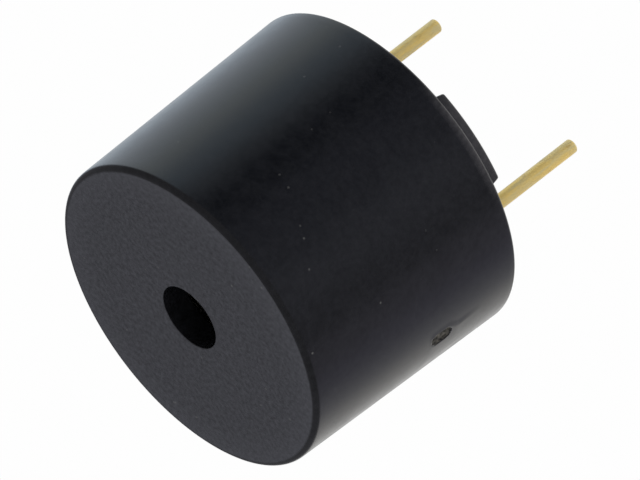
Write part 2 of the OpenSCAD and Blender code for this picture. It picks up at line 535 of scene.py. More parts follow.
class Pen:
    """A pen for drawing a node tree.

    Attributes:
        tree: The node tree.
    """

    def __init__(self, tree: bpy.types.NodeTree) -> None:
        """Start with an empty tree."""
        self.tree = tree
        self.tree.nodes.clear()

    def add(self, kind: str, **values: object) -> bpy.types.Node:
        """Add a node and set its properties.

        Args:
            kind: Type name of the node.
            **values: The properties by name.

        Returns:
            The node.
        """
        node = self.tree.nodes.new(kind)
        for key, value in values.items():
            setattr(node, key, value)
        return node

    def link(self, source: bpy.types.NodeSocket, target: bpy.types.NodeSocket) -> None:
        """Join an output to an input."""
        self.tree.links.new(source, target)

    def feed(self, target: bpy.types.NodeSocket, value: Value | Triple) -> None:
        """Link a socket, or set a plain value or colour on it.

        Args:
            target: The input.
            value: What it gets.
        """
        if isinstance(value, bpy.types.NodeSocket):
            self.link(value, target)
        else:
            target.default_value = (*value, 1.0) if isinstance(value, tuple) else value

    def math(self, operation: str, *values: Value) -> bpy.types.NodeSocket:
        """A Math node on up to three values.

        Args:
            operation: Type name of what it works out.
            *values: Its inputs.

        Returns:
            Its result.
        """
        node = self.add("ShaderNodeMath", operation=operation)
        for socket, value in zip(node.inputs, values):
            self.feed(socket, value)
        return node.outputs[0]

    def product(self, first: Value, *others: Value) -> Value:
        """The product of two or more values.

        Args:
            first: The first value.
            *others: The others.

        Returns:
            Their product.
        """
        for other in others:
            first = self.math("MULTIPLY", first, other)
        return first

    def mix(self, a: Value, b: Value, share: float = 0.5) -> Value:
        """A share of one value plus the rest of another."""
        return self.math("MULTIPLY_ADD", a, share, self.product(b, 1.0 - share))

    def span(
        self, value: Value, low: float, high: float, to_low: float = 0.0, to_high: float = 1.0
    ) -> bpy.types.NodeSocket:
        """Map one span of values to another, clamped.

        Args:
            value: The value to map.
            low: Start of its span.
            high: End of its span.
            to_low: What the start becomes.
            to_high: What the end becomes.

        Returns:
            The mapped value.
        """
        node = self.add("ShaderNodeMapRange", clamp=True)
        self.feed(node.inputs["Value"], value)
        for key, number in zip(
            ("From Min", "From Max", "To Min", "To Max"), (low, high, to_low, to_high)
        ):
            node.inputs[key].default_value = number
        return node.outputs["Result"]

    def blend(
        self,
        share: Value,
        a: Value | Triple,
        b: Value | Triple,
        mixed: Mixed = Mixed.COLOUR,
    ) -> bpy.types.NodeSocket:
        """Mix two colours or two numbers.

        Args:
            share: Share of the second one.
            a: The first one.
            b: The second one.
            mixed: What they are.

        Returns:
            The mixture.
        """
        data_type, first, second, result = mixed.value
        node = self.add("ShaderNodeMix", data_type=data_type)
        self.feed(node.inputs[0], share)
        self.feed(node.inputs[first], a)
        self.feed(node.inputs[second], b)
        return node.outputs[result]

    def mix_shaders(self, share: Value, a: bpy.types.Node, b: bpy.types.Node) -> bpy.types.Node:
        """Mix two shaders.

        Args:
            share: Share of the second shader.
            a: The first shader's node.
            b: The second shader's node.

        Returns:
            The mixed shader's node.
        """
        node = self.add("ShaderNodeMixShader")
        for socket, value in zip(node.inputs, (share, a.outputs[0], b.outputs[0])):
            self.feed(socket, value)
        return node

    def looked_at(self) -> bpy.types.NodeSocket:
        """Whether the camera looks, directly or by way of a mirror or glass.

        Returns:
            1 where it does, 0 where light only falls on the part.
        """
        path = self.add("ShaderNodeLightPath")
        seen = path.outputs["Is Camera Ray"]
        for name in ("Is Transmission Ray", "Is Glossy Ray"):
            seen = self.math("MAXIMUM", seen, path.outputs[name])
        return seen


class Nodes(Pen):
    """A pen for a material.

    Attributes:
        material: The material that is drawn.
        out: Its output node.
        shader: Its shader node.
        place: Place on the piece, in metres.
    """

    def __init__(self, name: str) -> None:
        """Start a material with a shader.

        Args:
            name: Name of the material.
        """
        self.material = bpy.data.materials.new(name)
        self.material.use_nodes = True
        super().__init__(self.material.node_tree)
        self.out = self.add("ShaderNodeOutputMaterial")
        self.shader = self.add("ShaderNodeBsdfPrincipled")
        self.link(self.shader.outputs[0], self.out.inputs[0])
        self.place = self.add("ShaderNodeTexCoord").outputs["Object"]

    def texture(self, kind: str, size: float, stretch: Triple = (1.0, 1.0, 1.0)) -> bpy.types.Node:
        """A texture node whose cells are about a given size.

        Args:
            kind: Type name of the texture.
            size: Size of a cell.
            stretch: How much denser the cells lie along each axis.

        Returns:
            The node.
        """
        mapping = self.add("ShaderNodeMapping")
        self.link(self.place, mapping.inputs["Vector"])
        mapping.inputs["Scale"].default_value = tuple(s / (size * MM) for s in stretch)
        node = self.add(kind)
        node.inputs["Scale"].default_value = 1.0
        self.link(mapping.outputs[0], node.inputs["Vector"])
        return node

    def noise(
        self,
        size: float,
        detail: float = 2.0,
        rough: float = 0.5,
        stretch: Triple = (1.0, 1.0, 1.0),
    ) -> bpy.types.NodeSocket:
        """Noise whose grains are about a given size.

        Args:
            size: Size of a grain.
            detail: How many finer grains are laid over it.
            rough: How strong the finer grains are.
            stretch: How much denser the grains lie along each axis.

        Returns:
            The noise, around 0.5.
        """
        node = self.texture("ShaderNodeTexNoise", size, stretch)
        node.inputs["Detail"].default_value = detail
        node.inputs["Roughness"].default_value = rough
        return node.outputs["Fac"]

    def specks(self, size: float, share: float, edge: Point = (0.1, 0.04)) -> Value:
        """Small round specks, each of its own strength, scattered on cells.

        Args:
            size: Size of a cell, which holds one speck at most.
            share: Share of the cells that hold one.
            edge: Distances from its middle, in cells, where a speck ends and
                is whole.

        Returns:
            Strength of the speck at a place, or 0.
        """
        cells = self.texture("ShaderNodeTexVoronoi", size)
        near = self.span(cells.outputs["Distance"], *edge)
        pick = self.add("ShaderNodeSeparateColor")
        self.link(cells.outputs["Color"], pick.inputs[0])
        few = self.math("LESS_THAN", pick.outputs[0], share)
        return self.product(near, self.product(few, pick.outputs[1]))

    def bump(
        self,
        height: bpy.types.NodeSocket,
        depth: float,
        strength: Value = 1.0,
        under: bpy.types.NodeSocket | None = None,
    ) -> bpy.types.NodeSocket:
        """A Bump node for a relief.

        Args:
            height: The relief, from 0 to 1.
            depth: Its depth.
            strength: How much of it shows.
            under: A relief that it lies on, if any.

        Returns:
            The bumped normal.
        """
        node = self.add("ShaderNodeBump")
        self.feed(node.inputs["Strength"], strength)
        node.inputs["Distance"].default_value = depth * MM
        self.link(height, node.inputs["Height"])
        if under is not None:
            self.link(under, node.inputs["Normal"])
        return node.outputs["Normal"]

    def set(self, **sockets: Value | Triple) -> None:
        """Set or link the shader's sockets by name."""
        for key, value in sockets.items():
            self.feed(self.shader.inputs[key.replace("_", " ")], value)


@dataclass(frozen=True)
class MouldedCase:
    """Black moulded case: satin wall, spark-eroded face, smooth broken edge.

    Attributes:
        shell: The outer form of the case.
        colour: Base colour of the plastic.
        wall_rough: Lowest and highest roughness of the side wall.
        wall_mottle: Darkest and lightest tint of the wall's haze.
        wall_grain: Size of the wall's fine unevenness.
        wall_relief: Depth of that unevenness.
        face_colour: Base colour of the eroded face.
        face_mottle: Darkest and lightest tint of the face's mottling.
        face_rim: Tint at the edge of the face, and its share there.
        scuff: Size of a scuff on the face, its tint and its share.
        scuff_span: Values of the scuffs' noise where one starts and is whole.
        face_rough: Roughness of the eroded face.
        face_relief: Depth of the eroded grain.
        face_r: Radius where the eroded field ends.
        face_fade: How far inside and outside that radius it starts and stops.
        face_skin: How far below the face it stops and is whole.
        face_light: Radius from which the field grows lighter towards its end.
        grain: Size of the eroded grain.
        blotch: Size of the mottling.
        cloud: Size of the haze.
        crumb: Size of the crumbs on the torn gate.
        torn_dark: Darkest colour of the torn gate.
        torn_light: Lightest colour of the torn gate.
        torn_depth: Depths below the wall where torn plastic starts and is whole.
        torn_z: Lowest and highest place of torn plastic.
        dust_colour: Colour of the dust.
        dust_cell: Size of the cells on which dust is scattered.
        dust_share: Share of the cells that hold a speck.
        dust_cover: How much a speck covers.
        edge_highlight_colour: Colour of the painted highlight along the base edge.
        edge_highlight_r: Beyond this radius, the base edge gets the painted highlight.
        edge_highlight_top: Heights above the rim where the painted highlight ends and is whole.
        edge_highlight_sole: How far above and below the rim it weakens downwards.
        edge_highlight_least: Its share below the rim, and its share between the feet.
        feet: Number of feet.
        foot_turn: Phase of the feet round the base.
        foot_span: Cosines of that phase where the painted highlight beside a foot starts and is
            whole.
    """

    shell: Shell = Shell()
    colour: Triple = (0.0048, 0.0050, 0.0060)
    wall_rough: Point = (0.22, 0.27)
    wall_mottle: Point = (0.6, 1.6)
    wall_grain: float = 0.12
    wall_relief: float = 0.004
    face_colour: Triple = (0.0432, 0.0442, 0.0525)
    face_mottle: Point = (0.66, 1.34)
    face_rim: Point = (1.9, 0.22)
    scuff: Triple = (0.5, 2.6, 0.5)
    scuff_span: Point = (0.7, 0.76)
    face_rough: float = 0.7
    face_relief: float = 0.012
    face_r: float = 5.595
    face_fade: Point = (0.02, 0.05)
    face_skin: Point = (0.04, 0.005)
    face_light: float = 4.4
    grain: float = 0.055
    blotch: float = 0.17
    cloud: float = 0.5
    crumb: float = 0.1
    torn_dark: Triple = (0.007, 0.007, 0.006)
    torn_light: Triple = (0.095, 0.088, 0.074)
    torn_depth: Point = (0.012, 0.03)
    torn_z: Point = (2.2, 5.0)
    dust_colour: Triple = (0.16, 0.16, 0.15)
    dust_cell: float = 0.55
    dust_share: float = 0.42
    dust_cover: float = 0.5
    # Painted highlight: a lighter band along the base edge, strongest beside the feet.
    edge_highlight_colour: Triple = (0.060, 0.057, 0.060)
    edge_highlight_r: float = 5.7
    edge_highlight_top: Point = (0.36, 0.06)
    edge_highlight_sole: float = 0.02
    edge_highlight_least: Point = (0.65, 0.05)
    feet: float = 3.0
    foot_turn: float = 18.0
    foot_span: Point = (0.35, 0.85)

    def on_face(self, n: Nodes, radius: Value, z: Value) -> Value:
        """Where the eroded field is.

        Args:
            n: The pen.
            radius: Distance from the case's axis, in metres.
            z: Height, in metres.

        Returns:
            1 on the field, 0 off it.
        """
        inner, outer = self.face_r - self.face_fade[0], self.face_r + self.face_fade[1]
        low, whole = (self.shell.face_z - depth for depth in self.face_skin)
        inside = n.span(radius, inner * MM, outer * MM, 1.0, 0.0)
        return n.product(inside, n.span(z, low * MM, whole * MM))

    def in_gate(self, n: Nodes, radius: Value, z: Value) -> Value:
        """Where the plastic of the gate mark is torn.

        Args:
            n: The pen.
            radius: Distance from the case's axis, in metres.
            z: Height, in metres.

        Returns:
            1 where it is torn, 0 elsewhere.
        """
        shell, (low, high) = self.shell, self.torn_z
        wall_r = n.math("MULTIPLY_ADD", z, -shell.lean, shell.wall_r(0.0) * MM)
        depth = n.math("SUBTRACT", wall_r, radius)
        sunk = n.span(depth, self.torn_depth[0] * MM, self.torn_depth[1] * MM)
        outside = n.math("GREATER_THAN", radius, shell.side_r * MM)
        below = n.math("LESS_THAN", z, high * MM)
        above = n.math("GREATER_THAN", z, low * MM)
        return n.product(n.product(sunk, outside), n.product(below, above))

    def painted_edge_highlight(self, n: Nodes, x: Value, y: Value, z: Value) -> Value:
        """How strongly the painted highlight along the base edge shows, most of all beside the
        feet.

        Args:
            n: The pen.
            x: Distance from the case's axis along X, in metres.
            y: Distance from it along Y, in metres.
            z: Height, in metres.

        Returns:
            0 to 1.
        """
        rim, sole = self.shell.rim_z, self.edge_highlight_sole
        below, between = self.edge_highlight_least
        end, whole = (rim + height for height in self.edge_highlight_top)
        azimuth = n.math("ARCTAN2", y, x)
        phase = n.math("MULTIPLY_ADD", azimuth, self.feet, math.radians(self.foot_turn))
        by_foot = n.span(n.math("COSINE", phase), *self.foot_span, between, 1.0)
        band = n.span(z, end * MM, whole * MM)
        edge = n.span(z, (rim - sole) * MM, (rim + sole) * MM, below, 1.0)
        return n.product(band, edge, by_foot)

    def face_tint(self, n: Nodes, radius: Value, grain: Value, blotch: Value) -> Value:
        """Colour of the eroded face: mottled, lighter at its edge, scuffed.

        Args:
            n: The pen.
            radius: Distance from the case's axis, in metres.
            grain: Noise of the eroded grain.
            blotch: Noise of the mottling.

        Returns:
            The colour.
        """
        dark, light = (tint(self.face_colour, factor) for factor in self.face_mottle)
        colour = n.blend(n.span(n.mix(grain, blotch, 0.45), *NOISE_CORE), dark, light)
        rim_tint, rim_share = self.face_rim
        edge = n.span(radius, self.face_light * MM, self.face_r * MM, 0.0, rim_share)
        colour = n.blend(edge, colour, tint(self.face_colour, rim_tint))
        size, scuff_tint, share = self.scuff
        scuffs = n.span(n.noise(size, detail=4.0, rough=0.7), *self.scuff_span, 0.0, share)
        return n.blend(scuffs, colour, tint(self.face_colour, scuff_tint))

    def make(self) -> bpy.types.Material:
        """Build the material.

        Returns:
            The material.
        """
        n = Nodes("case_black")
        split = n.add("ShaderNodeSeparateXYZ")
        n.link(n.place, split.inputs[0])
        x = n.math("SUBTRACT", split.outputs[0], AXIS_X * MM)
        y, z = split.outputs[1], split.outputs[2]
        radius = n.math("SQRT", n.math("MULTIPLY_ADD", x, x, n.product(y, y)))
        grain = n.noise(self.grain, detail=3.0, rough=0.65)
        blotch = n.noise(self.blotch, rough=0.55)
        cloud = n.noise(self.cloud)
        crumbs = n.noise(self.crumb, rough=0.6, stretch=(1.0, 0.45, 1.0))
        uneven = n.noise(self.wall_grain, stretch=(1.0, 1.0, 0.35))
        face, torn = self.on_face(n, radius, z), self.in_gate(n, radius, z)

        haze = n.span(n.mix(blotch, cloud, 0.6), *NOISE_CORE)
        colour = n.blend(haze, *(tint(self.colour, factor) for factor in self.wall_mottle))
        # Painted highlight: the base edge is painted lighter in a band, strongest beside the feet
        # and broken up by noise.
        patchy = n.span(blotch, *NOISE_MOST, 0.5, 1.0)
        outside = n.math("GREATER_THAN", radius, self.edge_highlight_r * MM)
        painted_edge_highlight = n.product(self.painted_edge_highlight(n, x, y, z), patchy, outside)
        colour = n.blend(painted_edge_highlight, colour, self.edge_highlight_colour)
        colour = n.blend(face, colour, self.face_tint(n, radius, grain, blotch))
        crumbly = n.blend(n.span(crumbs, 0.36, 0.66), self.torn_dark, self.torn_light)
        colour = n.blend(torn, colour, crumbly)
        dust = n.product(n.specks(self.dust_cell, self.dust_share), self.dust_cover)

        coarse = n.math("MAXIMUM", face, torn)
        satin = n.span(cloud, *NOISE_MOST, *self.wall_rough)
        wall = n.bump(uneven, self.wall_relief, 0.25)
        n.set(
            Base_Color=n.blend(dust, colour, self.dust_colour),
            Roughness=n.blend(coarse, satin, self.face_rough, Mixed.NUMBER),
            Normal=n.bump(grain, self.face_relief, n.product(face, 0.8), wall),
            IOR=1.5,
        )
        return n.material


@dataclass(frozen=True)
class BrassWire:
    """Drawn brass wire, a little dulled, with fine draw lines.

    Attributes:
        colour: Colour of the bright metal.
        dull: Colour of the dulled patches.
        stain: Colour of the small stains.
        line: Width of a draw line.
        streak: Width of a streak.
        patch: Size of a dulled patch.
        spot: Size of a stain.
        rough: Lowest and highest roughness.
        relief: Depth of the draw lines.
        metallic: How metallic it is.
    """

    colour: Triple = (0.94, 0.69, 0.22)
    dull: Triple = (0.80, 0.66, 0.31)
    stain: Triple = (0.42, 0.30, 0.14)
    line: float = 0.03
    streak: float = 0.09
    patch: float = 0.3
    spot: float = 0.24
    rough: Point = (0.34, 0.5)
    relief: float = 0.004
    metallic: float = 0.45

    def make(self) -> bpy.types.Material:
        """Build the material.

        Returns:
            The material.
        """
        n = Nodes("pin_brass")
        lines = n.noise(self.line, detail=3.0, stretch=(1.0, 1.0, 0.02))
        patch = n.noise(self.patch, detail=3.0, rough=0.6, stretch=(1.0, 1.0, 0.3))
        streaks = n.noise(self.streak, rough=0.6, stretch=(1.0, 1.0, 0.1))
        stains = n.noise(self.spot, detail=1.0, stretch=(1.0, 1.0, 0.5))
        colour = n.blend(n.span(n.mix(patch, streaks), 0.42, 0.6), self.colour, self.dull)
        n.set(
            Base_Color=n.blend(n.span(stains, 0.6, 0.76, 0.0, 0.5), colour, self.stain),
            Roughness=n.span(patch, *NOISE_MOST, *self.rough),
            Normal=n.bump(lines, self.relief, 0.5),
            Metallic=self.metallic,
        )
        return n.material


@dataclass(frozen=True)
class Metal:
    """A plain sheet or turned metal with a fine directional grain.

    Attributes:
        name: Name of the material.
        colour: Colour of the metal.
        rough: Roughness.
        grain: Grain size, across and along.
        relief: Depth of the grain.
        cloud: Size of the patches that are a little darker and rougher.
    """

    name: str
    colour: Triple
    rough: float = 0.35
    grain: Point = (0.05, 0.6)
    relief: float = 0.003
    cloud: float = 1.2

    def make(self) -> bpy.types.Material:
        """Build the material.

        Returns:
            The material.
        """
        n = Nodes(self.name)
        fine, long = self.grain
        streaks = n.noise(fine, detail=3.0, stretch=(1.0, fine / long, 1.0))
        cloud = n.noise(self.cloud, detail=3.0)
        n.set(
            Base_Color=n.blend(n.span(cloud, *NOISE_MOST), self.colour, tint(self.colour, 0.8)),
            Roughness=n.span(cloud, *NOISE_MOST, self.rough - 0.06, self.rough + 0.08),
            Normal=n.bump(streaks, self.relief, 0.6),
            Metallic=1.0,
        )
        return n.material


@dataclass(frozen=True)
class Plain:
    """A moulded, cast or pressed material with a fine all-over grain.

    Attributes:
        name: Name of the material.
        colour: Its colour.
        second: Colour of its mottling.
        rough: Roughness.
        grain: Size of the grain.
        relief: Depth of the grain.
        coat: Weight of a clear coat.
    """

    name: str
    colour: Triple
    second: Triple
    rough: float = 0.5
    grain: float = 0.1
    relief: float = 0.004
    coat: float = 0.0

    def make(self) -> bpy.types.Material:
        """Build the material.

        Returns:
            The material.
        """
        n = Nodes(self.name)
        grain = n.noise(self.grain, detail=3.0, rough=0.6)
        cloud = n.noise(self.grain * 8.0, detail=3.0)
        mottled = n.span(n.mix(grain, cloud), 0.38, 0.62)
        n.set(
            Base_Color=n.blend(mottled, self.colour, self.second),
            Roughness=n.span(cloud, *NOISE_MOST, self.rough - 0.05, self.rough + 0.06),
            Normal=n.bump(grain, self.relief, 0.6),
            Coat_Weight=self.coat,
        )
        return n.material


class Finishes:
    """Every finish of the part, made once and shared by its pieces."""

    def __init__(self) -> None:
        """Make all the materials."""
        self.case = MouldedCase().make()
        self.brass = BrassWire().make()
        self.foil = Metal("foil_steel", (0.62, 0.63, 0.64), 0.28).make()
        self.iron = Metal("soft_iron", (0.42, 0.43, 0.45), 0.4, (0.04, 0.3)).make()
        self.solder = Metal(
            "tin_solder", (0.60, 0.61, 0.62), 0.3, grain=(0.15, 0.15), relief=0.006
        ).make()
        self.copper = Metal(
            "enamelled_copper", (0.58, 0.20, 0.07), 0.25, grain=(0.05, 0.05), relief=0.001
        ).make()
        self.ferrite = Plain(
            "bonded_ferrite", (0.05, 0.05, 0.055), (0.09, 0.09, 0.1), 0.7, grain=0.06
        ).make()
        self.natural = Plain(
            "natural_plastic", (0.70, 0.66, 0.56), (0.62, 0.58, 0.48), 0.45, grain=0.2
        ).make()
        self.bobbin = Plain(
            "bobbin_plastic", (0.80, 0.76, 0.66), (0.73, 0.69, 0.58), 0.4, grain=0.2
        ).make()
        self.board = Plain(
            "board_laminate",
            (0.03, 0.12, 0.04),
            (0.045, 0.16, 0.06),
            rough=0.35,
            grain=0.15,
            relief=0.003,
            coat=0.4,
        ).make()
        self.package = Plain(
            "package_epoxy", (0.02, 0.02, 0.022), (0.035, 0.035, 0.037), 0.55, grain=0.04
        ).make()
        self.ceramic = Plain(
            "chip_ceramic", (0.78, 0.78, 0.75), (0.70, 0.70, 0.68), 0.5, grain=0.05
        ).make()
        self.resin = Plain(
            "cast_resin",
            (0.012, 0.011, 0.010),
            (0.022, 0.019, 0.016),
            rough=0.16,
            grain=0.6,
            relief=0.010,
            coat=0.5,
        ).make()


# --------------------------------------------------------------------------
# Sub-assemblies
# --------------------------------------------------------------------------


@dataclass(frozen=True)
class WeldStep:
    """The faint step that runs from the gate mark down to the base.

    Attributes:
        height: Height of the step.
        steep: Width of its steep side.
        fade: Width over which its other side fades.
        length: Length over which it dies away below the mark.
        overlap: How far up into the mark its lower part begins.
        head: How far up it starts, and the length over which it does.
        beside: Share of its height that it has beside the mark.
        grow: Length over which it grows to all of it.
        offset: Its place round the wall beside the mark.
        drift: How far it moves back below the mark, and over which length.
        lean: How far it leans for each millimetre below the mark.
    """

    height: float = 0.034
    steep: float = 0.36
    fade: float = 0.5
    length: float = 1.5
    overlap: float = 0.05
    head: Point = (0.1, 0.2)
    beside: float = 0.6
    grow: float = 0.3
    offset: float = 0.36
    drift: Point = (0.26, 0.4)
    lean: float = 0.03

    def relief(self, run: float, rise: float, mark_half: float) -> float:
        """Height of the step at a place on the wall.

        Args:
            run: Distance round the wall from the mark's middle.
            rise: Distance up from the mark's middle.
            mark_half: Half height of the mark.

        Returns:
            The height.
        """
        below = max(-rise - mark_half + self.overlap, 0.0)
        strength = clamp((mark_half + self.head[0] - rise) / self.head[1])
        strength *= max(1.0 - below / self.length, 0.0)
        strength *= self.beside + (1.0 - self.beside) * min(below / self.grow, 1.0)
        back, over = self.drift
        place = run - self.offset + back * min(below / over, 1.0) - self.lean * below
        if place > 0.0:
            step = ease(1.0 - place / self.steep)
        else:
            step = math.exp(place / self.fade)
        return self.height * step * strength


@dataclass(frozen=True)
class GateMark:
    """The broken moulding gate, a ragged pit low on the side wall.

    Attributes:
        shell: The outer form of the case.
        step: The weld step under it.
        azimuth: Its direction.
        z: Height of its middle.
        half: Half width and half height.
        depth: Its depth.
        shift: How far the pit lies round the wall from the middle.
        lean: How far it leans for each millimetre up.
        corners: How square it is, across and along.
        squareness: Power that turns those into a distance.
        side: Share of its half width that its side takes.
        ragged: How far its outline wanders, as a share of its half width.
        ragged_grain: Swings of that wandering for each millimetre.
        crumb: Middle and swing of its uneven floor.
        crumb_grain: Swings of the floor for each millimetre.
        floor: Share of the depth that is even.
        seeds: Where the two noises are taken.
        patch: Span round and up whose faces are divided.
        reach: Span round and up whose points are moved.
        cuts: Cuts that divide each face.
    """

    shell: Shell = Shell()
    step: WeldStep = WeldStep()
    azimuth: float = 174.5
    z: float = 3.68
    half: Point = (0.33, 0.44)
    depth: float = 0.13
    shift: float = 0.16
    lean: float = 0.05
    corners: Point = (2.4, 3.6)
    squareness: float = 0.4
    side: float = 0.2
    ragged: float = 0.16
    ragged_grain: Point = (5.0, 6.0)
    crumb: Point = (0.5, 0.9)
    crumb_grain: Point = (6.0, 11.0)
    floor: float = 0.3
    seeds: Point = (3.0, 8.0)
    patch: tuple[Point, Point] = ((-1.2, 0.95), (-2.7, 0.95))
    reach: tuple[Point, Point] = ((-1.25, 1.0), (-2.8, 1.0))
    cuts: int = 6

    def spot(self, place: Vector) -> Point:
        """Where a point of the wall lies, seen from the mark's middle.

        Args:
            place: The point, in metres.

        Returns:
            Distance round the wall and distance up.
        """
        azimuth = math.degrees(math.atan2(place.y, place.x - AXIS_X * MM))
        away = turn_from(self.azimuth, azimuth)
        return math.radians(away) * self.shell.base_r, place.z / MM - self.z

    def holds(self, spans: tuple[Point, Point], place: Vector) -> bool:
        """Whether a point is on the side wall and within two spans.

        Args:
            spans: Span round the wall and span up.
            place: The point, in metres.

        Returns:
            Whether it is.
        """
        out = math.hypot(place.x - AXIS_X * MM, place.y)
        (left, right), (low, high) = spans
        run, rise = self.spot(place)
        return out >= self.shell.side_r * MM and left < run < right and low < rise < high

    def relief(self, run: float, rise: float) -> float:
        """Depth of the mark and its weld step at a place on the wall.

        Args:
            run: Distance round the wall from the mark's middle.
            rise: Distance up from the mark's middle.

        Returns:
            Depth into the wall; below zero stands proud.
        """
        (wide, tall), (grain_run, grain_rise) = self.half, self.ragged_grain
        wander = noise.noise(Vector((run * grain_run, rise * grain_rise, self.seeds[0])))
        across, along = abs(run - self.shift - self.lean * rise) / wide, abs(rise) / tall
        away = (across ** self.corners[0] + along ** self.corners[1]) ** self.squareness
        pit = ease((1.0 - (away + self.ragged * wander)) / self.side)
        grain_run, grain_rise = self.crumb_grain
        crumb = noise.noise(Vector((run * grain_run, rise * grain_rise, self.seeds[1])))
        crumb = self.crumb[0] + self.crumb[1] * crumb
        depth = self.depth * pit * (self.floor + (1.0 - self.floor) * crumb)
        return depth - self.step.relief(run, rise, tall)

    def cut(self, obj: bpy.types.Object) -> None:
        """Model the mark into the case's side wall.

        Args:
            obj: The case.
        """
        select_faces(obj, lambda face: self.holds(self.patch, face.center))
        make_active(obj)
        bpy.ops.object.mode_set(mode="EDIT")
        bpy.ops.mesh.subdivide(number_cuts=self.cuts)
        leave_edit()
        axis = Vector((AXIS_X * MM, 0.0))
        for vertex in obj.data.vertices:
            if self.holds(self.reach, vertex.co):
                depth = self.relief(*self.spot(vertex.co)) * MM
                wall_r = self.shell.wall_r(vertex.co.z / MM) * MM
                arm = vertex.co.xy - axis
                vertex.co.xy = axis + arm.normalized() * (wall_r - depth)


@dataclass
class Case:
    """The drafted case with its sound hole, feet and gate mark.

    Attributes:
        shell: Its outer form.
        mark: Its gate mark.
        rim_round: Radius of the front edge.
        base_round: Radius of the base edge.
        hole_r: Radius of the sound hole.
        hole_round: Radius of the hole's edge.
        face_t: Thickness of the face.
        bore_r: Inner radius at the base.
        mouth: Width of the broken edge at the bore's mouth.
        chamber_r: Inner radius behind the face.
        chamber_round: Radius of the chamber's corner.
        ledge_z: Height of the inner ledge.
        foot_azimuths: Directions of the feet.
        foot_arc: Arc of a foot's sole.
        foot_slope: Extra arc at each end of a foot, at the base rim.
        foot_sink: How far a foot reaches up into the case.
        foot_round: Radius of a foot's corners.
        foot_r: Inner and outer radius of a foot.
    """

    shell: Shell = Shell()
    mark: GateMark = GateMark()
    rim_round: float = 0.2
    base_round: float = 0.1
    hole_r: float = 1.2
    hole_round: float = 0.04
    face_t: float = 1.0
    bore_r: float = BOX["seal"].radius
    mouth: float = 0.05
    chamber_r: float = 4.8
    chamber_round: float = 0.3
    ledge_z: float = BOX["support_ring"].high[Z]
    foot_azimuths: Triple = (234.0, 354.0, 114.0)
    foot_arc: float = 33.0
    foot_slope: float = 0.8
    foot_sink: float = 0.2
    foot_round: float = 0.09
    foot_r: Point = (5.45, 5.85)

    def outline(self) -> list[Point]:
        """Half section of the case, from the bore mouth round the outside.

        Returns:
            Its points.
        """
        rim, base, edge, corner = (
            self.rim_round,
            self.base_round,
            self.hole_round,
            self.chamber_round,
        )
        rim_z, face, hole = self.shell.rim_z, self.shell.face_z, self.hole_r
        low = (self.shell.wall_r(rim_z + base), rim_z + base)
        high = (self.shell.wall_r(face - rim), face - rim)
        under = face - self.face_t
        return [
            (self.bore_r + self.mouth, rim_z),
            *arc(self.shell.base_r - base, rim_z + base, base, -90.0, 0.0, 4)[:-1],
            *ramp(low, high, 36),
            *arc(high[0] - rim, high[1], rim, 0.0, 90.0, 8)[:-1],
            *ramp((high[0] - rim, face), (hole + edge, face), 10),
            *arc(hole + edge, face - edge, edge, 90.0, 180.0, 4)[:-1],
            *ramp((hole, face - edge), (hole, under), 4),
            (hole, under),
            *arc(self.chamber_r - corner, under - corner, corner, 90.0, 0.0, 5),
            (self.chamber_r, self.ledge_z),
            (self.bore_r, self.ledge_z),
            (self.bore_r, rim_z + self.mouth),
        ]

    def foot(self, azimuth: float) -> bpy.types.Object:
        """One foot with sloped ends, sunk a little into the base rim.

        Args:
            azimuth: Direction of the foot's middle.

        Returns:
            A closed solid.
        """
        inner, outer = self.foot_r
        root = self.shell.rim_z + self.foot_sink
        half_sole = self.foot_arc / 2
        half = half_sole + self.foot_slope * root / self.shell.rim_z
        obj = lathe(
            "foot",
            [(inner, 0.0), (outer, 0.0), (outer, root), (inner, root)],
            (AXIS_X, 0.0),
            steps=40,
            sweep=2 * half,
            start=azimuth - half,
        )
        axis = Vector((AXIS_X * MM, 0.0, 0.0))
        for vertex in obj.data.vertices:
            arm = vertex.co - axis
            sole = 1.0 - clamp(arm.z / (root * MM))
            squeeze = 1.0 - sole * (1.0 - half_sole / half)
            away = turn_from(azimuth, math.degrees(math.atan2(arm.y, arm.x)))
            turn = Matrix.Rotation(math.radians(away * (squeeze - 1.0)), 4, "Z")
            vertex.co = axis + turn @ arm
        bevel(obj, self.foot_round, segments=4, angle=30.0)
        return obj

    def build(self, finishes: Finishes) -> None:
        """Model and dress the case.

        Args:
            finishes: The part's finishes.
        """
        obj = lathe("case_shell", self.outline(), (AXIS_X, 0.0), steps=288)
        self.mark.cut(obj)
        for azimuth in self.foot_azimuths:
            boolean(obj, self.foot(azimuth), ToolUse.JOIN)
        tidy_mesh(obj)
        smooth(obj, 35.0)
        hand_over(obj, finishes.case, ["case"])


@dataclass
class Pins:
    """The two round terminal pins.

    Attributes:
        form: The form that they share.
        tip_round: Radius of a pin's end.
        first: Distance from a pin's end to the first ring of points on its side.
    """

    form: PinForm = PinForm()
    tip_round: float = 0.06
    first: float = 0.2

    def build(self, finishes: Finishes) -> list[bpy.types.Object]:
        """Model and dress both pins.

        Args:
            finishes: The part's finishes.

        Returns:
            The pins.
        """
        made: list[bpy.types.Object] = []
        r, end = self.form.radius, self.tip_round
        shank_z, top = self.form.shank_z, self.form.top_z
        for name, x in zip(self.form.names, self.form.places()):
            low = BOX[name].low[Z]
            outline = [
                (0.0, low),
                (r - end, low),
                *arc(r - end, low + end, end, -90.0, 0.0, 5)[1:],
                *ramp((r, low + self.first), (r, shank_z), 12),
                (r, shank_z),
                (self.form.shank_r(top), top),
                (0.0, top),
            ]
            obj = lathe(f"{name}_wire", outline, (x, 0.0), steps=64, closed=False)
            smooth(obj, 50.0)
            made.append(hand_over(obj, finishes.brass, [name]))
        return made


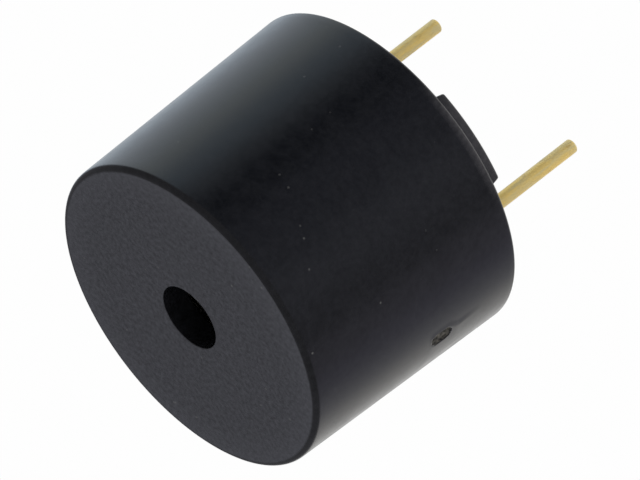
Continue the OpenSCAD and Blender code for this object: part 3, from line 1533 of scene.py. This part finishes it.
@dataclass
class Seal:
    """The cast resin that closes the base, with its meniscus.

    Attributes:
        pins: The form of the pins.
        bore_r: Inner radius of the case.
        flat_z: Height of the resin's surface.
        wall_z: Height where the surface meets the case.
        climb: Width over which the surface bends to the case.
        decay: How fast that bend dies away.
        spread: How much closer its points lie near the case.
        skin: Depth below the surface that the pins' meniscus moves.
        top_z: Upper end of the resin, round the board.
        seat_z: Upper end of the solid that cuts the board's seat.
        pin_climb: Height to which the resin climbs a pin.
        pin_decay: Distance over which that dies away.
        merge_gap: Points closer than this are merged.
    """

    pins: PinForm = PinForm()
    bore_r: float = BOX["seal"].radius
    flat_z: float = 0.63
    wall_z: float = BOX["seal"].low[Z]
    climb: float = 0.75
    decay: float = 4.5
    spread: float = 1.5
    skin: float = 0.05
    top_z: float = BOX["seal"].high[Z]
    seat_z: float = 3.0
    pin_climb: float = 0.06
    pin_decay: float = 0.09
    merge_gap: float = 0.0001

    def surface(self) -> list[Point]:
        """Half section of the surface, from the case to the axis.

        Returns:
            Its points.
        """
        drop, count = self.flat_z - self.wall_z, 16
        shares = [(i / count) ** self.spread for i in range(count)]
        bent = [
            (self.bore_r - self.climb * share, self.flat_z - drop * math.exp(-self.decay * share))
            for share in shares
        ]
        inner = (self.bore_r - self.climb, self.flat_z)
        return [*bent, *ramp(inner, (0.0, self.flat_z), 60)]

    def build(self, finishes: Finishes, held: Sequence[bpy.types.Object]) -> None:
        """Model and dress the resin.

        Args:
            finishes: The part's finishes.
            held: Solids whose space the resin leaves free, used up here.
        """
        back = [(0.0, self.flat_z), (0.0, self.top_z), (self.bore_r, self.top_z)]
        obj = lathe("seal_resin", [*self.surface(), *back], (AXIS_X, 0.0))
        places = self.pins.places()
        for vertex in obj.data.vertices:
            if vertex.co.z > (self.flat_z + self.skin) * MM:
                continue
            for x in places:
                away = math.hypot(vertex.co.x / MM - x, vertex.co.y / MM) - self.pins.radius
                vertex.co.z -= self.pin_climb * MM * math.exp(-max(away, 0.0) / self.pin_decay)
        board = BOX["board"]
        seat = rod("board_seat", board.high[X], board.low[Z], self.seat_z, (0.0, 0.0), 192)
        for tool in (seat, *held):
            boolean(obj, tool, ToolUse.CUT)
        tidy_mesh(obj, self.merge_gap)
        smooth(obj, 35.0)
        hand_over(obj, finishes.resin, ["seal"])


@dataclass
class MagnetSystem:
    """The sealed magnet system: ring, foil, armature, core, yoke, magnet, coil.

    Attributes:
        yoke_z: Underside of the yoke.
        coil_z: Top of the yoke, on which coil and magnet stand.
        pole_z: Height of the pole.
        foil_z: Underside of the diaphragm.
        ledge_z: Top of the support ring.
        ring_r: Outer radius of the support ring.
        ring_edge: Width of the ring's broken edges.
        play: Room that the ring leaves round the foil and the yoke.
        seat: Width of the foil's seat on the ring.
        seat_t: Thickness of that seat at its edge and at the ring's wall.
        yoke_r: Radius of the yoke.
        yoke_round: Radius of the yoke's lower edge.
        yoke_burr: Width of the yoke's broken upper edge.
        foil_r: Radius of the diaphragm.
        foil_t: Thickness of the diaphragm.
        armature: Radius and thickness of the armature disc.
        armature_round: Radius of the armature's edge.
        dimple_r: Radius of the dimple in the armature.
        dimple_ball: Radius of the ball that pressed it.
        dimple_rise: Height of the ball's middle over the armature.
        dimple_rim: Direction from there to the dimple's rim.
        pole_r: Radius of the pole.
        pole_round: Radius of the pole's edge.
        rivet_r: Radius of the pole's riveted end.
        rivet_edge: Width of that end's broken edge.
        punch: Inner radius, outer radius and depth of the riveting mark.
        magnet: Inner radius, outer radius and height of the magnet.
        magnet_edges: Widths of its lower, inner and upper outer edge.
        bobbin: Radius of the flanges, thickness and height of the bobbin.
        bobbin_round: Radius of the flanges' edges.
        bore_play: Room between bobbin and pole.
        notch: Half width, near end and far end of the leads' notch.
        notch_play: How far the notch reaches below and above the flange.
        coil: Inner and outer radius of the winding.
        turns: Turns in the winding's outer layer.
        turn_arc: Half of the arc of a turn that shows.
        valley: Depth of the winding between turns, in wire radii.
        slot: Place across, length and width of the slot for the leads.
        cutter_play: How far a cutting solid reaches past what it cuts.
    """

    yoke_z: float = BOX["yoke"].low[Z]
    coil_z: float = BOX["yoke"].high[Z]
    pole_z: float = BOX["core"].high[Z]
    foil_z: float = BOX["diaphragm"].low[Z]
    ledge_z: float = BOX["support_ring"].high[Z]
    ring_r: float = BOX["support_ring"].radius
    ring_edge: float = 0.04
    play: float = 0.05
    seat: float = 0.6
    seat_t: Point = (0.3, 0.55)
    yoke_r: float = BOX["yoke"].radius
    yoke_round: float = 0.06
    yoke_burr: float = 0.02
    foil_r: float = BOX["diaphragm"].radius
    foil_t: float = BOX["diaphragm"].tall
    armature: Point = (BOX["armature"].radius, BOX["armature"].tall)
    armature_round: float = 0.06
    dimple_r: float = 0.45
    dimple_ball: float = 0.85
    dimple_rise: float = 0.72
    dimple_rim: float = -57.9
    pole_r: float = BOX["core"].radius
    pole_round: float = 0.1
    rivet_r: float = 0.8
    rivet_edge: float = 0.04
    punch: Triple = (0.3, 0.4, 0.08)
    magnet: Triple = (3.1, BOX["magnet"].radius, BOX["magnet"].tall)
    magnet_edges: Triple = (0.03, 0.05, 0.1)
    bobbin: Triple = (BOX["bobbin"].radius, 0.25, BOX["bobbin"].tall)
    bobbin_round: float = 0.05
    bore_play: float = 0.05
    notch: Triple = (0.8, -1.9, -4.0)
    notch_play: Point = (0.5, 0.001)
    coil: Point = (1.55, BOX["winding"].radius)
    turns: int = 20
    turn_arc: float = 75.0
    valley: float = 1.2
    slot: Triple = (-2.2, 2.2, 0.8)
    cutter_play: float = 0.2

    def turned(
        self,
        name: str,
        outline: Sequence[Point],
        material: bpy.types.Material,
        node: str,
        closed: bool = True,
        steps: int = 144,
        cutter: bpy.types.Object | None = None,
    ) -> None:
        """Turn, cut and dress one piece on the case's axis.

        Args:
            name: Name of the piece.
            outline: Its half section.
            material: Its finish.
            node: The CAD node that it replaces.
            closed: Whether the half section is a loop off the axis.
            steps: Steps round the turn.
            cutter: A solid to cut away, if any.
        """
        obj = lathe(name, outline, (AXIS_X, 0.0), steps=steps, closed=closed)
        if cutter is not None:
            boolean(obj, cutter, ToolUse.CUT)
            tidy_mesh(obj)
        smooth(obj, 38.0)
        hand_over(obj, material, [node])

    def lead_slot(self, low: float, high: float) -> bpy.types.Object:
        """A slot with round ends for the leads, as a solid to cut away.

        Args:
            low: Underside of what it cuts.
            high: Top of what it cuts.

        Returns:
            The solid.
        """
        low, high = low - self.cutter_play, high + self.cutter_play
        y, length, width = self.slot
        half, end = (length - width) / 2, width / 2
        clear_selection()
        bpy.ops.mesh.primitive_circle_add(
            vertices=48, radius=end * MM, fill_type="NGON", location=(0.0, 0.0, 0.0)
        )
        obj = bpy.context.object
        for vertex in obj.data.vertices:
            vertex.co.x += math.copysign(half * MM, vertex.co.x + 1e-9)
            vertex.co += Vector((AXIS_X, y, low)) * MM
        edit_all()
        extrude(Vector((0.0, 0.0, (high - low) * MM)))
        leave_edit()
        tidy_mesh(obj)
        return obj

    def build_ring(self, finishes: Finishes) -> None:
        """The moulded ring that carries the diaphragm.

        Args:
            finishes: The part's finishes.
        """
        e = self.ring_edge
        edge_t, wall_t = self.seat_t
        bore, pocket = self.yoke_r + self.play, self.foil_r + self.play
        lip = self.foil_r - self.seat
        outline = [
            (bore, self.yoke_z),
            (self.ring_r - e, self.yoke_z),
            (self.ring_r, self.yoke_z + e),
            (self.ring_r, self.ledge_z - e),
            (self.ring_r - e, self.ledge_z),
            (pocket + e, self.ledge_z),
            (pocket, self.ledge_z - e),
            (pocket, self.foil_z),
            (lip + e, self.foil_z),
            (lip, self.foil_z - e),
            (lip, self.foil_z - edge_t),
            (bore, self.foil_z - wall_t),
        ]
        self.turned("diaphragm_ring", outline, finishes.natural, "support_ring")

    def build_foil(self, finishes: Finishes) -> None:
        """The thin diaphragm.

        Args:
            finishes: The part's finishes.
        """
        low, high, r = self.foil_z, self.foil_z + self.foil_t, self.foil_r
        outline = [
            *ramp((0.0, low), (r, low), 24),
            (r, low),
            *ramp((r, high), (0.0, high), 24),
            (0.0, high),
        ]
        self.turned(
            "diaphragm_foil", outline, finishes.foil, "diaphragm", closed=False
        )

    def build_armature(self, finishes: Finishes) -> None:
        """The armature disc, with its dimple.

        Args:
            finishes: The part's finishes.
        """
        (r, t), e, ball = self.armature, self.armature_round, self.dimple_ball
        low = self.foil_z + self.foil_t
        high, ball_z = low + t, low + t + self.dimple_rise
        outline = [
            (0.0, low),
            (r, low),
            (r, high - e),
            *arc(r - e, high - e, e, 0.0, 90.0, 4)[1:],
            (self.dimple_r, high),
            *arc(0.0, ball_z, ball, self.dimple_rim, -90.0, 5)[1:-1],
            (0.0, high + (self.dimple_rise - ball)),
        ]
        self.turned(
            "armature_disc", outline, finishes.iron, "armature", closed=False, steps=96
        )

    def build_core(self, finishes: Finishes) -> None:
        """The pole, whose lower end is riveted into the yoke.

        Args:
            finishes: The part's finishes.
        """
        r, edge, high = self.pole_r, self.pole_round, self.pole_z
        rivet, e, low = self.rivet_r, self.rivet_edge, self.yoke_z
        inner, outer, depth = self.punch
        outline = [
            (0.0, low + depth),
            (inner, low + depth),
            (outer, low),
            (rivet - e, low),
            (rivet, low + e),
            (rivet, self.coil_z),
            (r, self.coil_z),
            (r, high - edge),
            *arc(r - edge, high - edge, edge, 0.0, 90.0, 5)[1:],
            (0.0, high),
        ]
        self.turned("core_pole", outline, finishes.iron, "core", closed=False, steps=96)

    def build_yoke(self, finishes: Finishes) -> None:
        """The yoke plate, with its slot for the leads.

        Args:
            finishes: The part's finishes.
        """
        low, high, r = self.yoke_z, self.coil_z, self.yoke_r
        e, burr = self.yoke_round, self.yoke_burr
        outline = [
            (self.rivet_r, low),
            (r - e, low),
            *arc(r - e, low + e, e, -90.0, 0.0, 3)[1:],
            (r, high - burr),
            (r - burr, high),
            (self.rivet_r, high),
        ]
        slot = self.lead_slot(low, high)
        self.turned("yoke_plate", outline, finishes.iron, "yoke", cutter=slot)

    def build_magnet(self, finishes: Finishes) -> None:
        """The bonded ring magnet, with broken edges.

        Args:
            finishes: The part's finishes.
        """
        inner, outer, height = self.magnet
        under, bore, top = self.magnet_edges
        low, high = self.coil_z, self.coil_z + height
        outline = [
            (inner + bore, low),
            (outer - under, low),
            (outer, low + under),
            *ramp((outer, low + under), (outer, high - top), 6)[1:],
            *arc(outer - top, high - top, top, 0.0, 90.0, 4),
            (inner + bore, high),
            (inner, high - bore),
            (inner, low + bore),
        ]
        self.turned("magnet_ring", outline, finishes.ferrite, "magnet")

    def build_bobbin(self, finishes: Finishes) -> None:
        """The coil former, notched for the leads.

        Args:
            finishes: The part's finishes.
        """
        flange, t, height = self.bobbin
        bore, e = self.pole_r + self.bore_play, self.bobbin_round
        low, high = self.coil_z, self.coil_z + height
        side, near, far = self.notch
        below, above = self.notch_play
        notch = block("lead_notch", (-side, far, low - below), (side, near, low + t + above))
        outline = [
            (bore, low),
            (flange, low),
            (flange, low + t - e),
            *arc(flange - e, low + t - e, e, 0.0, 90.0, 3),
            (bore + t, low + t),
            (bore + t, high - t),
            *arc(flange - e, high - t + e, e, -90.0, 0.0, 3),
            *arc(flange - e, high - e, e, 0.0, 90.0, 3),
            (bore, high),
        ]
        self.turned(
            "bobbin_spool",
            outline,
            finishes.bobbin,
            "bobbin",
            steps=96,
            cutter=notch,
        )

    def build_winding(self, finishes: Finishes) -> None:
        """The winding, whose outer layer shows its single turns.

        Args:
            finishes: The part's finishes.
        """
        inner, outer = self.coil
        low = self.coil_z + self.bobbin[1]
        high = self.coil_z + self.bobbin[2] - self.bobbin[1]
        wire = (high - low) / self.turns / 2
        middles = [low + wire * (2 * turn + 1) for turn in range(self.turns)]
        ridges = [
            point
            for middle in middles
            for point in arc(outer - wire, middle, wire, -self.turn_arc, self.turn_arc, 4)
        ]
        valley = outer - self.valley * wire
        outline = [(inner, low), (valley, low), *ridges, (valley, high), (inner, high)]
        self.turned("winding_turns", outline, finishes.copper, "winding", steps=96)

    def build(self, finishes: Finishes) -> None:
        """Model and dress the magnet system.

        Args:
            finishes: The part's finishes.
        """
        self.build_ring(finishes)
        self.build_foil(finishes)
        self.build_armature(finishes)
        self.build_core(finishes)
        self.build_yoke(finishes)
        self.build_magnet(finishes)
        self.build_bobbin(finishes)
        self.build_winding(finishes)


@dataclass
class DriveCircuit:
    """The board with its parts and joints, sealed in the resin.

    Attributes:
        pins: The form of the pins.
        board_z: Underside of the board.
        board_top: Top of the board.
        board_r: Radius of the board.
        board_edge: Width of the board's broken edges.
        hole_play: Room between a pin and its hole.
        cutter_play: How far a cutting solid reaches past what it cuts.
        body: Size of the transistor's body.
        body_gap: Gap between that body and the board.
        body_y: Place of the transistor.
        body_round: Radius of the body's edges.
        parting: Share of the body's height that is below its parting line.
        draft: How far its walls lean for each millimetre from that line.
        lead_spots: Place of each transistor lead, and the side it leaves on.
        lead_w: Width of a transistor lead.
        lead_round: Radius of a lead's edges.
        lead_line: Outline of a lead: distance outwards and below the board.
        chip_y: Place of the resistor.
        chip_half: Half length and half depth of the resistor's chip.
        chip_z: How far below the board its faces are.
        chip_edge: Width of its broken edges.
        cap_x: Place of an end cap, from the chip's middle.
        cap_half: Half length and half depth of a cap.
        cap_t: Height of a cap.
        cap_edge: Width of its broken edges.
        fillet_h: Height of the solder round a pin.
        fillet_w: Width of that solder on the board.
        fillet_curve: Power of its curve.
        joints: The lead joints.
        joint_r: Radius of a joint's sphere.
        seat_play: How much tighter the resin holds the pins' solder.
        seat_over: How far a space in the resin reaches into the board.
        seat_from: Points this close to the board count as on it.
    """

    pins: PinForm = PinForm()
    board_z: float = BOX["board"].low[Z]
    board_top: float = BOX["board"].high[Z]
    board_r: float = BOX["board"].high[X]
    board_edge: float = 0.03
    hole_play: float = 0.03
    cutter_play: float = 0.2
    body: Triple = (2.9, 1.3, 0.9)
    body_gap: float = 0.07
    body_y: float = BOX["transistor"].middle(Y)
    body_round: float = 0.03
    parting: float = 0.35
    draft: float = 0.12
    lead_spots: tuple[Point, ...] = ((0.0, 1.0), (0.95, -1.0), (-0.95, -1.0))
    lead_w: float = 0.4
    lead_round: float = 0.02
    lead_line: tuple[Point, ...] = (
        (0.55, 0.42),
        (0.85, 0.42),
        (0.97, 0.12),
        (1.2, 0.12),
        (1.2, 0.0),
        (0.88, 0.0),
        (0.76, 0.3),
        (0.55, 0.3),
    )
    chip_y: float = BOX["resistor"].middle(Y)
    chip_half: Point = (0.6, 0.4)
    chip_z: Point = (0.45, 0.03)
    chip_edge: float = 0.02
    cap_x: float = 0.65
    cap_half: Point = (0.15, 0.42)
    cap_t: float = BOX["resistor"].tall
    cap_edge: float = 0.04
    fillet_h: float = BOX["solder_pos"].tall
    fillet_w: float = 0.49
    fillet_curve: float = 2.4
    joints: tuple[str, ...] = ("solder_supply", "solder_drive", "solder_sense")
    joint_r: float = 0.32
    seat_play: float = 0.004
    seat_over: float = 0.1
    seat_from: float = 0.001

    def build_board(self, finishes: Finishes, magnets: MagnetSystem) -> None:
        """The round board with its holes and the slot for the leads.

        Args:
            finishes: The part's finishes.
            magnets: The magnet system, whose slot the board shares.
        """
        low, high, r, e = self.board_z, self.board_top, self.board_r, self.board_edge
        side = [(r - e, low), (r, low + e), (r, high - e), (r - e, high)]
        obj = lathe("board_disc", [(0.0, low), *side, (0.0, high)], closed=False)
        hole = self.pins.radius + self.hole_play
        for x in self.pins.places():
            ends = (low - self.cutter_play, high + self.cutter_play)
            boolean(obj, rod("pin_hole", hole, *ends, (x, 0.0), 48), ToolUse.CUT)
        boolean(obj, magnets.lead_slot(low, high), ToolUse.CUT)
        tidy_mesh(obj)
        smooth(obj, 35.0)
        hand_over(obj, finishes.board, ["board"])

    def gull_lead(self, x: float, side: float) -> bpy.types.Object:
        """One bent transistor lead, from the body down to the board.

        Args:
            x: Its place along X.
            side: 1 for the far side of the body, -1 for the near side.

        Returns:
            The lead.
        """
        left = x - self.lead_w / 2
        places = [
            Vector((left, self.body_y + side * out, self.board_z - down)) * MM
            for out, down in self.lead_line
        ]
        obj = draw_line(places)
        bpy.ops.mesh.select_all(action="SELECT")
        bpy.ops.mesh.edge_face_add()
        extrude(Vector((self.lead_w * MM, 0.0, 0.0)))
        leave_edit()
        tidy_mesh(obj)
        bevel(obj, self.lead_round, segments=2, angle=25.0)
        return obj

    def transistor_body(self) -> bpy.types.Object:
        """The moulded body, whose walls lean in from its parting line.

        Returns:
            The body.
        """
        wide, deep, tall = self.body
        high = self.board_z - self.body_gap
        obj = block(
            "transistor_body",
            (-wide / 2, self.body_y - deep / 2, high - tall),
            (wide / 2, self.body_y + deep / 2, high),
        )
        make_active(obj)
        edit_all()
        part = (high - self.parting * tall) * MM
        bpy.ops.mesh.bisect(plane_co=(0.0, 0.0, part), plane_no=(0.0, 0.0, 1.0))
        leave_edit()
        middle = Vector((0.0, self.body_y * MM))
        for vertex in obj.data.vertices:
            lean = self.draft * abs(vertex.co.z - part) / MM
            arm = vertex.co.xy - middle
            arm.x -= math.copysign(lean * MM, arm.x)
            arm.y -= math.copysign(lean * MM, arm.y)
            vertex.co.xy = middle + arm
        bevel(obj, self.body_round, segments=3, angle=30.0)
        return obj

    def build_transistor(self, finishes: Finishes) -> list[bpy.types.Object]:
        """The transistor's body and its three bent leads.

        Args:
            finishes: The part's finishes.

        Returns:
            Its pieces.
        """
        body = self.transistor_body()
        smooth(body, 30.0)
        made = [hand_over(body, finishes.package, ["transistor"])]
        for index, (x, side) in enumerate(self.lead_spots):
            lead = settle(self.gull_lead(x, side), f"transistor_lead_{index}")
            smooth(lead, 30.0)
            made.append(hand_over(lead, finishes.solder, ["transistor"]))
        return made

    def build_resistor(self, finishes: Finishes) -> list[bpy.types.Object]:
        """The chip and its two end caps.

        Args:
            finishes: The part's finishes.

        Returns:
            Its pieces.
        """
        y, z = self.chip_y, self.board_z
        (wide, deep), (below, above) = self.chip_half, self.chip_z
        low, high = (-wide, y - deep, z - below), (wide, y + deep, z - above)
        chip = block("resistor_chip", low, high, self.chip_edge)
        made = [hand_over(chip, finishes.ceramic, ["resistor"])]
        wide, deep = self.cap_half
        for name, x in (("resistor_cap_a", -self.cap_x), ("resistor_cap_b", self.cap_x)):
            low, high = (x - wide, y - deep, z - self.cap_t), (x + wide, y + deep, z)
            cap = block(name, low, high, self.cap_edge)
            smooth(cap, 30.0)
            made.append(hand_over(cap, finishes.solder, ["resistor"]))
        return made

    def fillet(self) -> list[Point]:
        """Outer outline of the solder round a pin, from its tip to the board.

        Returns:
            Its points.
        """
        steps, tip = 10, self.board_z - self.fillet_h
        return [
            (
                self.pins.shank_r(tip) + self.fillet_w * (i / steps) ** self.fillet_curve,
                self.board_z - self.fillet_h * (1.0 - i / steps),
            )
            for i in range(steps + 1)
        ]

    def build_joints(self, finishes: Finishes) -> list[bpy.types.Object]:
        """The solder round both pins and over the three lead ends.

        Args:
            finishes: The part's finishes.

        Returns:
            The joints over the lead ends.
        """
        z, r = self.board_z, self.joint_r
        outline = [*self.fillet(), (self.pins.shank_r(z), z)]
        for name, x in zip(("solder_pos", "solder_neg"), self.pins.places()):
            obj = lathe(f"{name}_fillet", outline, (x, 0.0), steps=64)
            smooth(obj, 50.0)
            hand_over(obj, finishes.solder, [name])
        made: list[bpy.types.Object] = []
        for name in self.joints:
            box = BOX[name]
            foot = math.degrees(math.asin((r - box.tall) / r))
            outline = [*arc(0.0, z + r - box.tall, r, -90.0, -foot, 8), (0.0, z)]
            centre = (box.middle(X), box.middle(Y))
            obj = lathe(f"{name}_dome", outline, centre, steps=48, closed=False)
            smooth(obj, 50.0)
            made.append(hand_over(obj, finishes.solder, [name]))
        return made

    def space_for(self, piece: bpy.types.Object) -> bpy.types.Object:
        """A copy of a piece on the board, as a solid to cut the resin with.

        Args:
            piece: The piece.

        Returns:
            The solid, which reaches a little into the board.
        """
        tool = copy_of(piece)
        tidy_mesh(tool)
        for vertex in tool.data.vertices:
            if vertex.co.z > (self.board_z - self.seat_from) * MM:
                vertex.co.z = (self.board_z + self.seat_over) * MM
        return tool

    def build(
        self, finishes: Finishes, magnets: MagnetSystem, pins: Sequence[bpy.types.Object]
    ) -> list[bpy.types.Object]:
        """Model and dress the circuit.

        Args:
            finishes: The part's finishes.
            magnets: The magnet system, whose slot the board shares.
            pins: The finished pins.

        Returns:
            Solids for the space that the resin leaves free.
        """
        self.build_board(finishes, magnets)
        held = self.build_transistor(finishes) + self.build_resistor(finishes)
        held += self.build_joints(finishes)
        for node in ("lead_supply", "lead_drive", "lead_sense"):
            dress_node(node, finishes.copper)
            held.append(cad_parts[node])
        tools = [self.space_for(piece) for piece in held]
        top = self.board_z + self.seat_over
        edge = [(r - self.seat_play, z) for r, z in self.fillet()]
        seat = [(0.0, edge[0][1]), *edge, (edge[-1][0], top), (0.0, top)]
        for x in self.pins.places():
            tools.append(lathe("fillet_seat", seat, (x, 0.0), steps=60, closed=False))
        return tools + [copy_of(pin) for pin in pins]


# --------------------------------------------------------------------------
# Studio
# --------------------------------------------------------------------------


@dataclass(frozen=True)
class Lamp:
    """A soft square lamp that looks at the part.

    Attributes:
        name: Name of the lamp.
        azimuth: Its direction round the part, from +X.
        elevation: Its height above the horizon, as an angle.
        distance: Its distance, in metres.
        size: Its side, in metres.
        watts: Its power.
        colour: Its colour.
        mirrored: Whether glossy pieces show it.
        aim_z: Height that it looks at.
    """

    name: str
    azimuth: float
    elevation: float
    distance: float
    size: float
    watts: float
    colour: Triple = (1.0, 1.0, 1.0)
    mirrored: bool = False
    aim_z: float = 4.5

    def hang(self) -> None:
        """Put the lamp in its place."""
        data = bpy.data.lights.new(self.name, "AREA")
        data.shape = "SQUARE"
        data.size = self.size
        data.energy = self.watts
        data.color = self.colour
        obj = bpy.data.objects.new(self.name, data)
        bpy.context.scene.collection.objects.link(obj)
        a, e = math.radians(self.azimuth), math.radians(self.elevation)
        away = Vector((math.cos(a) * math.cos(e), math.sin(a) * math.cos(e), math.sin(e)))
        obj.location = Vector((0.0, 0.0, self.aim_z * MM)) + away * self.distance
        obj.rotation_euler = away.to_track_quat("Z", "Y").to_euler()
        obj.visible_camera = False
        obj.visible_glossy = self.mirrored


@dataclass
class Studio:
    """Camera, floor, sky and lamps.

    Attributes:
        look_from: Direction from the part to the camera.
        up: The picture's upward direction.
        distance: Distance from the picture's middle to the camera, in metres.
        base: Middle of the case's base.
        offset: Steps from the base's middle to the picture's middle, to the
            right and up.
        width: Width of the picture at the base's middle.
        sensor: Width of the camera's sensor.
        floor_z: Height of the floor.
        floor_size: Side of the floor, in metres.
        floor_white: How much of the floor's own white a look at it shows.
        film: Colours of the graded film, by direction round the part.
        film_line: Half section of the film, as radius and height.
        film_fade: Heights where the film's colours end and its top begins.
        film_high: Colour of the film's upper part.
        sky_level: Strength of the sky on the part.
        lamps: The lamps.
    """

    look_from: Triple = (-0.3982, -0.7934, 0.4604)
    up: Triple = (0.5815, -0.6065, -0.5422)
    distance: float = 0.7
    base: Triple = (AXIS_X, 0.0, 0.35)
    offset: Point = (-2.088, -2.361)
    width: float = 20.83
    sensor: float = 36.0
    floor_z: float = -60.0
    floor_size: float = 8.0
    floor_white: float = 0.96
    film: tuple[tuple[float, Triple], ...] = (
        (10.0, (0.88, 0.94, 1.0)),
        (25.0, (0.84, 0.92, 1.0)),
        (40.0, (0.80, 0.90, 1.0)),
        (62.0, (0.97, 0.98, 1.0)),
        (80.0, (1.0, 1.0, 0.98)),
        (93.0, (0.86, 0.85, 0.83)),
        (113.0, (0.75, 0.74, 0.73)),
        (128.0, (0.55, 0.55, 0.60)),
        (150.0, (0.40, 0.39, 0.49)),
        (165.0, (0.36, 0.35, 0.42)),
        (185.0, (0.22, 0.22, 0.26)),
        (220.0, (0.34, 0.35, 0.42)),
        (243.0, (0.22, 0.23, 0.29)),
        (266.0, (0.18, 0.19, 0.25)),
        (283.0, (0.07, 0.08, 0.11)),
        (295.0, (0.045, 0.055, 0.085)),
        (305.0, (0.28, 0.31, 0.36)),
        (323.0, (0.53, 0.64, 0.76)),
        (343.0, (0.87, 0.96, 1.0)),
    )
    film_line: tuple[Point, ...] = (
        (70.0, -59.0),
        (110.0, -52.0),
        (125.0, -20.0),
        (130.0, 20.0),
        (125.0, 90.0),
        (100.0, 150.0),
        (40.0, 185.0),
        (0.0, 190.0),
    )
    film_fade: Point = (-30.0, -5.0)
    film_high: Triple = (0.22, 0.22, 0.24)
    sky_level: float = 0.55
    lamps: tuple[Lamp, ...] = (
        Lamp("lamp_key", 130.0, 62.0, distance=0.9, size=0.5, watts=2.2),
        Lamp("lamp_fill", 200.0, 25.0, distance=0.9, size=0.6, watts=2.2),
        Lamp(
            "lamp_cool",
            12.0,
            -24.0,
            distance=0.11,
            size=0.08,
            watts=0.0019,
            colour=(0.25, 0.55, 1.0),
            mirrored=True,
        ),
    )

    def camera(self) -> None:
        """Set the camera."""
        data = bpy.data.cameras.new("camera")
        cam = bpy.data.objects.new("camera", data)
        bpy.context.scene.collection.objects.link(cam)
        back = Vector(self.look_from).normalized()
        up = (Vector(self.up) - back * Vector(self.up).dot(back)).normalized()
        right = up.cross(back)
        turn = Matrix((right, up, back)).transposed().to_4x4()
        aim = Vector(self.base) + right * self.offset[0] + up * self.offset[1]
        cam.matrix_world = Matrix.Translation(aim * MM + back * self.distance) @ turn
        data.sensor_width = self.sensor
        data.lens = self.sensor * self.distance / (self.width * MM)
        data.clip_start, data.clip_end = 0.01, 50.0
        bpy.context.scene.camera = cam

    def floor(self) -> None:
        """Lay a plain pale floor that is clear from below."""
        clear_selection()
        place = (0.0, 0.0, self.floor_z * MM)
        bpy.ops.mesh.primitive_plane_add(size=self.floor_size, location=place)
        obj = bpy.context.object
        obj.name = "floor"
        n = Nodes("floor_white")
        n.set(Base_Color=(0.9, 0.9, 0.9), Roughness=0.9)
        seen = n.product(n.looked_at(), self.floor_white)
        glow = n.add("ShaderNodeEmission")
        clear = n.add("ShaderNodeBsdfTransparent")
        side = n.add("ShaderNodeNewGeometry")
        above = n.mix_shaders(seen, n.shader, glow)
        sheet = n.mix_shaders(side.outputs["Backfacing"], above, clear)
        n.link(sheet.outputs[0], n.out.inputs[0])
        obj.data.materials.append(n.material)

    def graded_film(self) -> None:
        """Hang a graded film round the part, for its glossy wall to mirror."""
        obj = lathe("graded_film", self.film_line, steps=96, closed=False)
        n = Nodes("graded_film")
        split = n.add("ShaderNodeSeparateXYZ")
        n.link(n.place, split.inputs[0])
        turn = n.math("ARCTAN2", split.outputs[1], split.outputs[0])
        grade = n.add("ShaderNodeValToRGB")
        n.link(n.math("MULTIPLY_ADD", turn, 0.5 / math.pi, 0.5), grade.inputs[0])
        stops = sorted((((a + 180.0) % FULL_TURN) / FULL_TURN, c) for a, c in self.film)
        scale = grade.color_ramp
        scale.interpolation = "EASE"
        for spot, _ in stops[:-2]:
            scale.elements.new(spot)
        for element, (spot, colour) in zip(scale.elements, stops):
            element.position = spot
            element.color = (*colour, 1.0)
        high = n.span(split.outputs[2], *(z * MM for z in self.film_fade))
        sheet = n.add("ShaderNodeBsdfTransparent")
        n.link(n.blend(high, grade.outputs[0], self.film_high), sheet.inputs[0])
        n.link(sheet.outputs[0], n.out.inputs[0])
        obj.data.materials.append(n.material)
        obj.visible_camera = False
        obj.visible_shadow = False
        obj.visible_diffuse = False

    def sky(self) -> None:
        """Set the world: white to the camera, a soft level to the part."""
        world = bpy.data.worlds.new("world")
        bpy.context.scene.world = world
        world.use_nodes = True
        pen = Pen(world.node_tree)
        out = pen.add("ShaderNodeOutputWorld")
        glow = pen.add("ShaderNodeBackground")
        level = pen.span(pen.looked_at(), 0.0, 1.0, self.sky_level, 1.0)
        pen.feed(glow.inputs["Color"], (1.0, 1.0, 1.0))
        pen.feed(glow.inputs["Strength"], level)
        pen.link(glow.outputs[0], out.inputs[0])

    def build(self) -> None:
        """Set the whole studio."""
        self.camera()
        self.floor()
        self.graded_film()
        self.sky()
        for lamp in self.lamps:
            lamp.hang()
        bpy.context.scene.view_settings.view_transform = "Standard"


def main() -> None:
    """Build the part and its studio, in order."""
    logging.basicConfig(level=logging.INFO, format="%(name)s %(message)s")
    Studio().build()
    finishes = Finishes()
    Case().build(finishes)
    pins = Pins().build(finishes)
    magnets = MagnetSystem()
    magnets.build(finishes)
    held = DriveCircuit().build(finishes, magnets, pins)
    Seal().build(finishes, held)


if __name__ == "__main__":
    main()
